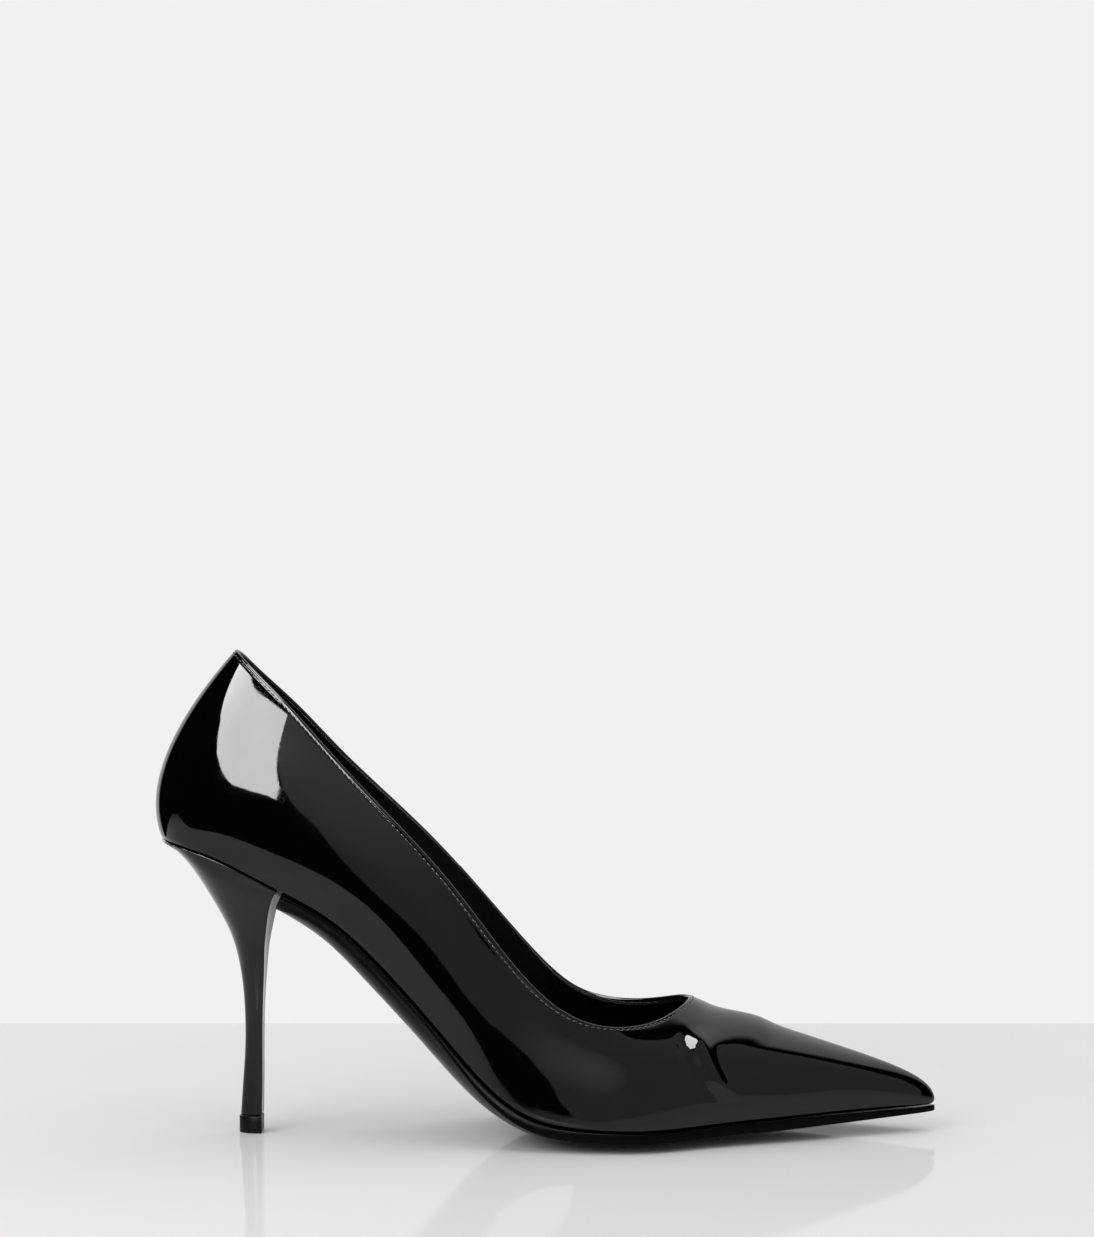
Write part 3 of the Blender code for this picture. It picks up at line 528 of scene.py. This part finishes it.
def make_upper(material):
    """The two leather pieces of the upper. The inner quarter laps over the vamp's wing."""
    t = np.linspace(SEAM_HALF_GAP, INNER_SEAM + 0.02, VAMP_COLUMNS)
    vamp = tube_solid("vamp_leather", upper_section(t, -seam_groove(t)), material)
    dress(vamp, "vamp_and_outer_quarter")

    t = np.linspace(INNER_SEAM, LOOP - SEAM_HALF_GAP, QUARTER_COLUMNS)
    lap = LAP_LIFT * (1 - smooth_step(t, INNER_SEAM, INNER_SEAM + LAP_LENGTH))
    quarter = tube_solid("inner_quarter_leather", upper_section(t, lap - seam_groove(t)), material)
    dress(quarter, "inner_quarter")


def dress(piece, node):
    """A piece that stands for a CAD node."""
    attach(piece, "root")
    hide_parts(node)


# ---------------------------------------------------------------- lining and sock


def lining_depth(t, v):
    """The lining's outer face: close under the folded top, further in over the counter and the puff."""
    over_counter = (1 - smooth_step(station(t), 5.6, 7.2)) * (1 - smooth_step(v, 0.70, 0.90))
    over_puff = smooth_step(station(t), 11.6, 13.2) * (1 - smooth_step(v, 0.6, 0.78))
    extra = COUNTER_ROOM * over_counter + PUFF_ROOM * over_puff
    return LINING_TOP_DEPTH + extra * smooth_step(1 - v, 0, 0.1)


def lining_section(t, lift):
    """The closed section of the lining at each t. A lift brings it further into the shoe."""
    low_v = height_share(t, BOARD_HIGH + GAP)
    high_v = top_share(t, LINING_BELOW)
    heights = [low_v + (high_v - low_v) * share for share in np.linspace(0, 1, LINING_ROWS) ** 0.8]
    outside = [outer_skin(t, v, lining_depth(t, v) + lift) for v in [*heights[::4], heights[-1]]]
    inside = [outer_skin(t, v, lining_depth(t, v) + LINING_THICK + lift) for v in heights[::-1]]
    return even_sections(outside + inside)


def make_lining(material):
    """The front lining, and the heel's sleeve that laps over its ends."""
    t = np.linspace(LINING_SEAM - LINING_OVERLAP, LOOP - LINING_SEAM + LINING_OVERLAP, LINING_COLUMNS)
    front = tube_solid("vamp_lining_leather", lining_section(t, 0 * t), material, 40)
    dress(front, "vamp_lining")
    t = np.linspace(LOOP - LINING_SEAM, LOOP + LINING_SEAM, LINING_COLUMNS)
    lap = LINING_LAP * (1 - smooth_step(LINING_SEAM - np.abs(t - LOOP), LINING_OVERLAP, 0.9))
    sleeve = tube_solid("quarter_lining_leather", lining_section(t, lap), material, 40)
    dress(sleeve, "quarter_lining")


def sock_height(t, w):
    """The underside of the sock, raised over the two pads."""
    heel = smooth_step(t, 0, 1.2) * (1 - smooth_step(t, 3.8, 5.2))
    forefoot = smooth_step(t, 8.2, 9.6) * (1 - smooth_step(t, 12.9, 14.3))
    return SOCK_LOW + (PAD_THICK + GAP) * (heel + forefoot) * (1 - smooth_step(np.abs(w), 0.55, 1.0))


def plate_solid(name, top, bottom, material, sharp_angle=None):
    """A closed body between two matching grids whose rows run across the foot."""
    sections = np.concatenate([top, bottom[:, ::-1]], 1)
    return tube_solid(name, sections, material, sharp_angle)


def sock_rim(t):
    """Plan positions, at the feather line's level, of the sock's edge where it meets the lining."""
    height = SOCK_LOW + SOCK_THICK / 2
    share = height_share(t, height)
    rim = upper_layer(t, share, lining_depth(t, share) + LINING_THICK + 0.1)
    return (rim - up_at(rim[..., 0]) * height)[..., :2]


def make_sock(material):
    """The leather that covers the insole, raised over the pads and thinned to nothing at its edges."""
    t = np.concatenate([np.linspace(0.12, 2, 40), np.linspace(2, 15.5, 170)[1:]])
    w = np.linspace(-1, 1, 61)
    share = (w + 1)[None, :, None] / 2
    plan = sock_rim(t)[:, None] * (1 - share) + sock_rim(LOOP - t)[:, None] * share
    underside = sock_height(t[:, None], w)
    low = under_foot(plan, underside)
    high = under_foot(plan, underside + SOCK_THICK * (1 - np.abs(w) ** 24))
    dress(plate_solid("sock_leather", high, low, material, 50), "sock")


def make_pad(name, node, stations, inset, material):
    """A foam pad that thins out towards its edges."""
    first, last = stations
    t = np.linspace(first, last, 40)
    ends = np.minimum(smooth_step(t, first, first + 0.6), 1 - smooth_step(t, last - 0.8, last))

    def crown(_, w):
        return SOCK_LOW + 0.15 + (PAD_THICK - 0.15) * ends[:, None] * (1 - np.abs(w) ** 6)

    top, bottom = bottom_plate(t, inset, 31, crown), bottom_plate(t, inset, 31, SOCK_LOW)
    pad = plate_solid(name, top, bottom, material, 60)
    dress(pad, node)


# ---------------------------------------------------------------- outsole


def outsole_faces(t):
    """Sections across the outsole: top face, rounded edges and underside."""
    forepart = smooth_step(t, 7.0, 9.5)
    tip = smooth_step(t, 13.0, TOE)
    overhang = 0.35 * smooth_step(t, 7, 10) * (1 - smooth_step(t, 14, TOE - 0.5))
    full = OUTSOLE_THICK + 0.4 * (1 - forepart) - 1.3 * tip
    edge = OUTSOLE_THICK - 1.7 * (1 - forepart) - 1.3 * tip
    round_off = 0.3 + 0.25 * (1 - forepart)
    sections = []
    for side in (0, 1):
        around = t if side == 0 else LOOP - t
        rows = []
        for inset, height in ((1.6, 0), (0.25, 0), (0.06, -0.08), (0, -0.25)):
            rows.append(under_foot(edge_plan(around, inset - overhang), OUTSOLE_TOP + height + 0 * t))
        for turn in (0.0, 0.25, 0.5, 0.75, 1.0):
            angle = turn * math.pi / 2
            inset = round_off * (1 - math.cos(angle)) * (1 + 1.5 * (1 - forepart))
            height = OUTSOLE_TOP - edge + round_off * (1 - math.sin(angle))
            rows.append(under_foot(edge_plan(around, inset - overhang), height))
        sections.append(rows)
    w = np.linspace(-1, 1, 47)[1:-1]
    inset = round_off * (1 + 1.5 * (1 - forepart)) - overhang
    outer, inner = edge_plan(t, inset), edge_plan(LOOP - t, inset)
    share = (w + 1)[None, :, None] / 2
    plan = outer[:, None] * (1 - share) + inner[:, None] * share
    height = OUTSOLE_TOP - full[:, None] + (full - edge)[:, None] * np.abs(w[None]) ** 3
    under = list(under_foot(plan, height).transpose(1, 0, 2))
    top_plan = edge_plan(t, 1.6 - overhang), edge_plan(LOOP - t, 1.6 - overhang)
    top = [
        under_foot(top_plan[0] * (1 - s) + top_plan[1] * s, OUTSOLE_TOP + 0 * t)
        for s in np.linspace(1, 0, 15)[1:-1]
    ]
    return even_sections(sections[0] + under + sections[1][::-1] + top)


def make_outsole(material):
    """The sole from the heel's breast to the toe, worn flat where it touches the floor."""
    t = np.concatenate([np.linspace(BREAST + 0.08, 16, 330), np.linspace(16, TOE - 0.02, 50)[1:]])
    sections = outsole_faces(t)
    sections[..., 2] = np.maximum(sections[..., 2], 0)
    dress(tube_solid("outsole_leather", sections, material, 50), "outsole")


# ---------------------------------------------------------------- heel


def heel_ring(level, inset, count, across):
    """One ring of the heel, from the outer breast corner round the back and across the breast."""
    back_x, back_z, front_x, front_z, half = HEEL_LEVELS[level]
    share = (level + 1) / len(HEEL_LEVELS)
    back, front = np.array([back_x, back_z]), np.array([front_x, front_z])
    way = (front - back) / np.linalg.norm(front - back)
    back, front = back + way * inset, front - way * inset
    half = half - inset
    s = np.linspace(-1, 1, count + 1)
    along_seat, width_seat = seat_outline(s)
    angle = s * math.pi / 2
    along_tip = 1 - np.cos(angle) ** 0.85
    width_tip = np.sin(angle) * (1 - 0.10 * np.abs(s) ** 5)
    blend = smooth_step(share, 0.05, 0.75)
    along = along_seat * (1 - blend) + along_tip * blend
    width = width_seat * (1 - blend) + width_tip * blend
    points = back[None] + (front - back)[None] * along[:, None]
    ring = np.stack([points[:, 0], width * half, points[:, 1]], -1)
    line = np.linspace(0, 1, across + 1)[1:-1, None]
    hollow = (0.12 - 0.08 * blend) * np.sin(math.pi * line) * np.linalg.norm(front - back)
    breast = ring[-1] * (1 - line) + ring[0] * line
    breast[:, [0, 2]] -= hollow * way
    return np.concatenate([ring, breast])


def seat_outline(s):
    """The seat's outline for s from -1 (outer corner) to 1: share of its length, share of its width."""
    points = feather_loop((-s * BREAST) % LOOP)
    length = points[0, 0] - feather_loop(np.array([0.0]))[0, 0]
    widest = np.abs(points[:, 1]).max()
    return (points[:, 0] - points[len(s) // 2, 0]) / length, points[:, 1] / widest


def seat_ring(inset, height, count, across):
    """The heel's top edge, just below the feather line."""
    s = np.linspace(-1, 1, count + 1)
    rim = edge_plan((-s * (BREAST - inset * 0.05)) % LOOP, inset + 0 * s)
    line = np.linspace(0, 1, across + 1)[1:-1, None]
    breast = rim[-1] * (1 - line) + rim[0] * line
    return under_foot(np.concatenate([rim, breast]), height)


def round_ring(ring, radius):
    """The ring with its corners rounded off, by averaging along its length."""
    step = np.linalg.norm(np.roll(ring, -1, 0) - ring, axis=1)
    length = step.sum()
    even = np.linspace(0, length, RING_POINTS, endpoint=False)
    start = np.concatenate([[0], np.cumsum(step)])
    looped = np.concatenate([ring, ring[:1]])
    points = np.stack([np.interp(even, start, looped[:, k]) for k in range(3)], -1)
    away = np.arange(RING_POINTS) * length / RING_POINTS
    away = np.minimum(away, length - away)
    weight = np.exp(-((away / radius) ** 2))
    spectrum = np.fft.fft(points, axis=0) * np.fft.fft(weight / weight.sum())[:, None]
    return np.fft.ifft(spectrum, axis=0).real


def heel_wall(inset, rows):
    """The heel's side as rows of rings from the seat to the tip."""
    rings = [seat_ring(inset + 0.15, -GAP - inset * 0.5, HEEL_BACK_POINTS, HEEL_BREAST_POINTS)]
    for level in range(len(HEEL_LEVELS)):
        rings.append(heel_ring(level, inset, HEEL_BACK_POINTS, HEEL_BREAST_POINTS))
    rings = np.array(rings)
    smooth = natural_spline(np.arange(len(rings)), rings.reshape(len(rings), -1))
    fine = smooth(np.linspace(0, len(rings) - 1, rows)).reshape(rows, *rings.shape[1:])
    radii = HEEL_CORNER_RADIUS * np.linspace(1, HEEL_TIP_ROUNDING, rows)
    return np.array([round_ring(ring, radius) for ring, radius in zip(fine, radii)])


def make_heel(patent, rubber):
    """The leather over the heel, turned in at the seat and at the tip, and the top piece."""
    wall, inside = heel_wall(0, HEEL_ROWS), heel_wall(HEEL_COVER_THICK, HEEL_INSIDE_ROWS)
    sections = np.concatenate([wall, inside[::-1]])
    faces = grid_faces(*sections.shape[:2], wrap_rows=True, wrap_columns=True)
    dress(solid_from("heel_cover_leather", sections, faces, patent), "heel_cover")

    ring = wall[-1]
    middle = np.array([(TIP_BACK + TIP_FRONT) / 2, 0, 0])
    low, high = ring.min(0), ring.max(0)
    length, width = high[0] - low[0], high[1] - low[1]
    scale = np.array([(TIP_FRONT - TIP_BACK) / length, 2 * TIP_HALF_WIDTH / width, 0])
    flat = (ring - (low + high) / 2) * scale
    rings = [middle + flat * (1 - inset / TIP_HALF_WIDTH) + [0, 0, z] for inset, z in TIP_PROFILE]
    dress(tube_solid("top_piece_rubber", np.array(rings), rubber, 35), "top_piece")


# ---------------------------------------------------------------- stitches


def stitch_shape():
    """Points of one stitch: a spindle of thread whose ends dip into the leather."""
    points = []
    for reach in np.linspace(-1, 1, STITCH_RINGS):
        radius = STITCH_RADIUS * math.sqrt(min(1.02 - reach**2, 1)) ** 0.7
        sink = STITCH_SINK * STITCH_RADIUS * reach**2
        for angle in np.arange(STITCH_SIDES) * 2 * math.pi / STITCH_SIDES:
            aside, up = radius * math.cos(angle), radius * math.sin(angle) - sink
            points.append([reach * STITCH_LENGTH / 2, aside, up])
    return np.array(points)


def make_stitches(material):
    """Stitches of even pitch along the topline."""
    t = np.linspace(STITCH_START, LOOP - STITCH_START, STITCH_PATH_POINTS)
    line = outer_skin(t, top_share(t, STITCH_BELOW))
    run = np.concatenate([[0], np.cumsum(np.linalg.norm(np.diff(line, axis=0), axis=1))])
    count = int(run[-1] // STITCH_PITCH)
    t = np.interp((np.arange(count) + 0.5) * run[-1] / count, run, t)
    v, e = top_share(t, STITCH_BELOW), 0.004
    centre = outer_skin(t, v)
    along = outer_skin(t + e, top_share(t + e, STITCH_BELOW)) - centre
    along /= np.linalg.norm(along, axis=1, keepdims=True)
    out = centre - outer_skin(t, v, 0.2)
    out /= np.linalg.norm(out, axis=1, keepdims=True)
    across = np.cross(out, along)
    slant = math.radians(STITCH_SLANT)
    forward = along * math.cos(slant) + across * math.sin(slant)
    aside = across * math.cos(slant) - along * math.sin(slant)
    points = centre[:, None] + stitch_shape() @ np.stack([forward, aside, out], 1)

    faces = np.concatenate([
        grid_faces(STITCH_RINGS, STITCH_SIDES, wrap_columns=True),
        cap_faces(STITCH_SIDES, 0, False),
        cap_faces(STITCH_SIDES, (STITCH_RINGS - 1) * STITCH_SIDES, True),
    ])
    if signed_volume(points[0], faces) < 0:
        faces = faces[:, ::-1]
    starts = np.arange(count) * points.shape[1]
    all_faces = (faces[None] + starts[:, None, None]).reshape(-1, 4)
    stitches = make_mesh("topline_stitches", points.reshape(-1, 3), all_faces, material)
    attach(stitches, "root")


# ---------------------------------------------------------------- materials


class Nodes:
    """A short way to build a material's node tree round its Principled shader."""

    def __init__(self, name):
        self.material = bpy.data.materials.new(name)
        self.material.use_nodes = True
        self.tree = self.material.node_tree
        self.shader = self.tree.nodes["Principled BSDF"]
        self.position = self.tree.nodes.new("ShaderNodeNewGeometry").outputs["Position"]

    def set(self, **values):
        for key, value in values.items():
            self.shader.inputs[key.replace("_", " ")].default_value = value

    def link(self, source, target):
        self.tree.links.new(source, target)

    def noise(self, scale, detail=2.0, roughness=0.5, stretch=None):
        """Noise over the position; scale is in features a metre."""
        node = self.tree.nodes.new("ShaderNodeTexNoise")
        node.inputs["Scale"].default_value = scale
        node.inputs["Detail"].default_value = detail
        node.inputs["Roughness"].default_value = roughness
        self.link(self.stretched(stretch), node.inputs["Vector"])
        return node.outputs["Fac"]

    def voronoi(self, scale):
        """Round cells over the position, for pores."""
        node = self.tree.nodes.new("ShaderNodeTexVoronoi")
        node.inputs["Scale"].default_value = scale
        self.link(self.position, node.inputs["Vector"])
        return node.outputs["Distance"]

    def stretched(self, stretch):
        """The position, with each axis scaled where a stretch is given."""
        if stretch is None:
            return self.position
        node = self.tree.nodes.new("ShaderNodeVectorMath")
        node.operation = "MULTIPLY"
        node.inputs[1].default_value = stretch
        self.link(self.position, node.inputs[0])
        return node.outputs[0]

    def spread(self, noise, low, high):
        """A value that runs from low to high over the middle of a noise's range."""
        return self.span(noise, low, high, 0.3, 0.7)

    def span(self, value, low, high, from_low=0.0, from_high=1.0):
        """A value mapped in a straight line from one range to another."""
        node = self.tree.nodes.new("ShaderNodeMapRange")
        node.inputs["From Min"].default_value = from_low
        node.inputs["From Max"].default_value = from_high
        node.inputs["To Min"].default_value = low
        node.inputs["To Max"].default_value = high
        self.link(value, node.inputs["Value"])
        return node.outputs["Result"]

    def mix(self, factor, first, second):
        """A colour between two colours."""
        node = self.tree.nodes.new("ShaderNodeMix")
        node.data_type = "RGBA"
        node.inputs["A"].default_value = (*first, 1)
        node.inputs["B"].default_value = (*second, 1)
        self.link(factor, node.inputs["Factor"])
        return node.outputs["Result"]

    def distance(self, place):
        """How far the shaded point is from a place, in metres."""
        node = self.tree.nodes.new("ShaderNodeVectorMath")
        node.operation = "DISTANCE"
        node.inputs[1].default_value = place
        self.link(self.position, node.inputs[0])
        return node.outputs["Value"]

    def times(self, first, second):
        node = self.tree.nodes.new("ShaderNodeMath")
        node.operation = "MULTIPLY"
        self.link(first, node.inputs[0])
        self.link(second, node.inputs[1])
        return node.outputs[0]

    def bump(self, height, distance, strength, below=None):
        """A normal bent by a height, over another bump where one is given."""
        node = self.tree.nodes.new("ShaderNodeBump")
        node.inputs["Strength"].default_value = strength
        node.inputs["Distance"].default_value = distance
        self.link(height, node.inputs["Height"])
        if below is not None:
            self.link(below, node.inputs["Normal"])
        return node.outputs["Normal"]

    def finish(self, colour, roughness, normal=None):
        """Links what varies to the shader, and gives back the material."""
        for socket, value in (("Base Color", colour), ("Roughness", roughness), ("Normal", normal)):
            if value is not None:
                self.link(value, self.shader.inputs[socket])
        return self.material


def patent_leather():
    """Black leather under a clear, glassy film with a very slight orange peel."""
    n = Nodes("patent_leather")
    n.set(IOR=1.45)
    swell = n.noise(140, 1.0)
    peel = n.noise(1500, 2.0)
    low = n.bump(swell, 0.00003, 0.5)
    normal = n.bump(peel, 0.000004, 0.5, low)
    colour = n.mix(n.noise(60), (0.0004, 0.0004, 0.0005), (0.0010, 0.0010, 0.0011))
    roughness = n.spread(n.noise(300, 4.0), 0.02, 0.06)
    return n.finish(colour, roughness, normal)


def lining_leather():
    """Smooth black kid leather with fine pores and creases. Its colour is painted shade: far darker than
    real leather, standing for the shade inside the shoe.
    """
    n = Nodes("lining_leather")
    pores = n.bump(n.voronoi(1500), 0.00008, 0.6)
    normal = n.bump(n.noise(220, 5.0, 0.6), 0.0002, 0.5, pores)
    n.set(Specular_IOR_Level=0.03)
    # painted shade: this colour is far darker than black leather's own and stands for the shade inside the
    # shoe
    colour = n.mix(n.noise(90, 4.0), (0.0008, 0.0008, 0.0009), (0.002, 0.002, 0.002))
    roughness = n.spread(n.noise(500, 4.0), 0.42, 0.62)
    return n.finish(colour, roughness, normal)


def sock_leather():
    """The sock's leather, a little greyer and rubbed smoother than the lining."""
    n = Nodes("sock_leather")
    pores = n.bump(n.voronoi(1300), 0.0001, 0.6)
    normal = n.bump(n.noise(160, 5.0, 0.6), 0.0003, 0.4, pores)
    n.set(Specular_IOR_Level=0.03)
    colour = n.mix(n.noise(45, 5.0), (0.001, 0.001, 0.001), (0.003, 0.003, 0.003))
    roughness = n.spread(n.noise(60, 5.0), 0.38, 0.58)
    return n.finish(colour, roughness, normal)


def sole_leather():
    """Black painted sole leather: smooth, with a fine drawn grain and a waxed edge. Its colour is darker
    than real sole paint, as painted shade for the contact shadow along the floor.
    """
    n = Nodes("sole_leather")
    fibres = n.bump(n.noise(900, 4.0, 0.6, (0.25, 1, 1)), 0.00002, 0.4)
    normal = n.bump(n.noise(120, 2.0), 0.00006, 0.3, fibres)
    n.set(Specular_IOR_Level=0.05)
    # painted shade: this colour is darker than black sole paint's own and stands for the contact shadow
    # where the sole meets the floor
    colour = n.mix(n.noise(150, 5.0), (0.0008, 0.0007, 0.0007), (0.002, 0.0018, 0.0017))
    roughness = n.spread(n.noise(220, 5.0), 0.14, 0.26)
    return n.finish(colour, roughness, normal)


def rubber():
    """Dense black polyurethane of the top piece, with a satin, faintly pitted face."""
    n = Nodes("top_piece_rubber")
    normal = n.bump(n.noise(3000, 3.0), 0.00005, 0.6)
    n.set(Specular_IOR_Level=0.12)
    colour = n.mix(n.noise(400, 3.0), (0.002, 0.002, 0.002), (0.005, 0.005, 0.005))
    roughness = n.spread(n.noise(700, 3.0), 0.22, 0.4)
    return n.finish(colour, roughness, normal)


def thread():
    """Twisted black nylon thread with a soft shine. Its colour is lifted to dark grey as a painted
    highlight, so the stitches read as light dots.
    """
    n = Nodes("thread")
    twist = n.noise(2600, 1.0, 0.4, (1, 1, 0.5))
    # partly real, partly painted highlight: the tone varies with the twist, and the whole range sits above
    # black thread's own to stand for the glints on the stitches
    colour = n.mix(twist, (0.03, 0.03, 0.032), (0.09, 0.09, 0.095))
    roughness = n.spread(twist, 0.2, 0.34)
    return n.finish(colour, roughness, n.bump(twist, 0.0001, 0.8))


def fibre(name, dark, light, scale, rough):
    """Pressed or felted fibres: board, fleece, tape, cork and foam."""
    n = Nodes(name)
    fleck = n.noise(scale, 6.0, 0.7)
    colour = n.mix(fleck, dark, light)
    roughness = n.spread(fleck, rough - 0.1, rough)
    return n.finish(colour, roughness, n.bump(fleck, 0.0002, 0.8))


def steel():
    """Drawn steel with fine lengthwise scratches."""
    n = Nodes("drawn_steel")
    n.set(Metallic=1.0)
    scratch = n.noise(1200, 3.0, 0.6, (1, 1, 0.08))
    colour = n.mix(scratch, (0.42, 0.42, 0.44), (0.6, 0.6, 0.62))
    return n.finish(colour, n.spread(scratch, 0.25, 0.4), n.bump(scratch, 0.00005, 0.5))


def heel_plastic():
    """Moulded black ABS."""
    n = Nodes("heel_plastic")
    speck = n.noise(900, 3.0)
    colour = n.mix(speck, (0.012, 0.012, 0.012), (0.02, 0.02, 0.02))
    return n.finish(colour, n.spread(speck, 0.35, 0.5), n.bump(speck, 0.00005, 0.5))


def paint_inner_nodes(nodes):
    """The pieces inside the shoe keep their CAD shape and get their real materials."""
    tape = fibre("woven_tape", (0.02, 0.02, 0.02), (0.06, 0.06, 0.06), 1500, 0.85)
    fleece = fibre("stiff_fleece", (0.55, 0.52, 0.46), (0.78, 0.75, 0.68), 900, 0.9)
    metal = steel()
    finishes = {
        "heel_counter": fleece,
        "toe_puff": fleece,
        "topline_tape": tape,
        "back_seam_tape": tape,
        "insole_board": fibre("fibreboard", (0.30, 0.21, 0.14), (0.47, 0.35, 0.24), 700, 0.9),
        "bottom_filler": fibre("cork", (0.22, 0.13, 0.07), (0.48, 0.32, 0.19), 500, 0.95),
        "heel_core": heel_plastic(),
    }
    for name, node in nodes.items():
        if node.hide_render:
            continue
        material = finishes.get(name, metal)
        node.data.materials.clear()
        node.data.materials.append(material)


# ---------------------------------------------------------------- studio


def along_edge(edge, share):
    """Directions read along an edge that is given by its corners, (azimuth, elevation) each."""
    corner = np.array(edge, float)
    place = np.linspace(0, 1, len(corner))
    return np.interp(share, place, corner[:, 0]), np.interp(share, place, corner[:, 1])


def reflector(name, lower, upper, radiance):
    """A curved lit panel round the shoe, between two edges. Only mirror reflections show it."""
    share = np.linspace(0, 1, REFLECTOR_COLUMNS)
    climb = np.linspace(0, 1, REFLECTOR_ROWS)[:, None]
    low_azimuth, low_elevation = along_edge(lower, share)
    high_azimuth, high_elevation = along_edge(upper, share)
    azimuth = np.radians(low_azimuth * (1 - climb) + high_azimuth * climb)
    elevation = np.radians(low_elevation * (1 - climb) + high_elevation * climb)
    level = np.cos(elevation)
    way = np.stack([np.sin(azimuth) * level, -np.cos(azimuth) * level, np.sin(elevation)], -1)
    points = STUDIO_MIDDLE + way.reshape(-1, 3) * STUDIO_RADIUS
    faces = grid_faces(REFLECTOR_ROWS, REFLECTOR_COLUMNS)
    panel = make_mesh(name, points, faces, diffuser(name, radiance))
    panel.visible_camera = False
    panel.visible_diffuse = False
    panel.visible_shadow = False


def diffuser(name, radiance):
    """Lit white cloth, a little uneven, and brightest round its hot spot where it has one."""
    n = Nodes(name + "_cloth")
    light = n.tree.nodes.new("ShaderNodeEmission")
    cloud = n.span(n.noise(6.0), radiance * (1 - REFLECTOR_UNEVEN), radiance * (1 + REFLECTOR_UNEVEN))
    if name in HOT_SPOTS:
        place, near, far, low, high = HOT_SPOTS[name]
        away = n.distance(place)
        glow = n.span(away, high, low, near, far)
        cloud = n.times(cloud, glow)
    n.link(cloud, light.inputs["Strength"])
    output = n.tree.nodes["Material Output"]
    n.link(light.outputs["Emission"], output.inputs["Surface"])
    return n.material


def soft_light(name, place, size, power):
    """A broad soft light aimed at the shoe, for the floor's own light and its soft shadow."""
    light = bpy.data.lights.new(name, "AREA")
    light.shape = "RECTANGLE"
    light.size, light.size_y = size
    light.energy = power
    obj = bpy.data.objects.new(name, light)
    bpy.context.scene.collection.objects.link(obj)
    obj.location = place
    obj.rotation_euler = Vector(place).to_track_quat("Z", "Y").to_euler()
    obj.visible_camera = False
    obj.visible_glossy = False


def make_world():
    """A white room for the camera and for diffuse light. Glossy surfaces see only its far wall."""
    world = bpy.data.worlds.new("studio")
    bpy.context.scene.world = world
    world.use_nodes = True
    tree = world.node_tree
    tree.nodes.clear()
    make = tree.nodes.new
    path = make("ShaderNodeLightPath")
    coordinates = make("ShaderNodeTexCoord")
    towards_wall = make("ShaderNodeVectorMath")
    towards_wall.operation = "DOT_PRODUCT"
    towards_wall.inputs[1].default_value = (WALL_SKEW, 1, 0)
    far = make("ShaderNodeMapRange")
    far.interpolation_type = "SMOOTHSTEP"
    far.inputs["From Min"].default_value = WALL_START
    far.inputs["From Max"].default_value = WALL_FULL
    far.inputs["To Min"].default_value = DARK_ROOM
    far.inputs["To Max"].default_value = BACKGROUND
    pick = make("ShaderNodeMix")
    pick.inputs["A"].default_value = DOME
    camera = make("ShaderNodeMix")
    camera.inputs["B"].default_value = BACKGROUND
    background = make("ShaderNodeBackground")
    output = make("ShaderNodeOutputWorld")
    link = tree.links.new
    link(coordinates.outputs["Generated"], towards_wall.inputs[0])
    link(towards_wall.outputs["Value"], far.inputs["Value"])
    link(path.outputs["Is Glossy Ray"], pick.inputs["Factor"])
    link(far.outputs["Result"], pick.inputs["B"])
    link(path.outputs["Is Camera Ray"], camera.inputs["Factor"])
    link(pick.outputs["Result"], camera.inputs["A"])
    link(camera.outputs["Result"], background.inputs["Color"])
    link(background.outputs[0], output.inputs["Surface"])


def floor_material():
    """Pale honed stone: nearly even, with a soft gloss."""
    n = Nodes("pale_floor")
    n.set(IOR=1.07)
    cloud = n.noise(9, 4.0)
    colour = n.mix(cloud, FLOOR_DARK, FLOOR_LIGHT)
    roughness = n.spread(n.noise(30, 3.0), 0.05, 0.08)
    return n.finish(colour, roughness)


def make_floor():
    """A slab whose far edge lies a little behind the shoe, with its top just under the floor's level."""
    far, near, side, thick, drop = FLOOR_BEHIND / MM, FLOOR_FRONT / MM, 2000.0, 30.0, 0.02
    corners = np.array([(x, y, z) for z in (-thick, 0) for y in (near, far) for x in (-side, side)], float)
    corners[:, 2] -= drop
    faces = np.array([(4, 5, 7, 6), (0, 2, 3, 1), (0, 1, 5, 4), (2, 6, 7, 3), (0, 4, 6, 2), (1, 3, 7, 5)])
    floor = make_mesh("floor", corners - SHIFT, faces, floor_material(), 30)


def make_camera():
    """Level with the middle of the shoe's back, square to its outer side."""
    data = bpy.data.cameras.new("camera")
    data.lens = CAMERA_LENS
    camera = bpy.data.objects.new("camera", data)
    camera.location = CAMERA_PLACE
    camera.rotation_euler = (math.radians(90), 0, 0)
    bpy.context.scene.collection.objects.link(camera)
    bpy.context.scene.camera = camera


def make_studio():
    """The lights and what the leather reflects."""
    make_world()
    soft_light("ceiling", (0, 0, 1.4), (1.6, 1.2), CEILING_POWER)
    soft_light("key", (-0.6, -0.7, 0.6), (0.8, 0.6), KEY_POWER)
    for name, (lower, upper, radiance) in REFLECTORS.items():
        reflector(name, lower, upper, radiance)


def main():
    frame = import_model()
    bpy.context.scene.view_settings.view_transform = "Standard"

    make_camera()
    patent = patent_leather()
    make_upper(patent)
    lining = lining_leather()
    make_lining(lining)
    make_sock(sock_leather())
    foam = fibre("latex_foam", (0.55, 0.5, 0.38), (0.72, 0.68, 0.56), 1800, 0.95)
    make_pad("heel_pad_foam", "heel_pad", (0.6, 4.0), 9.5, foam)
    make_pad("forefoot_pad_foam", "forefoot_pad", (9.5, 13.0), 12.0, foam)
    make_outsole(sole_leather())
    make_heel(patent, rubber())
    make_stitches(thread())
    paint_inner_nodes(frame["nodes"])

    make_studio()
    make_floor()


main()
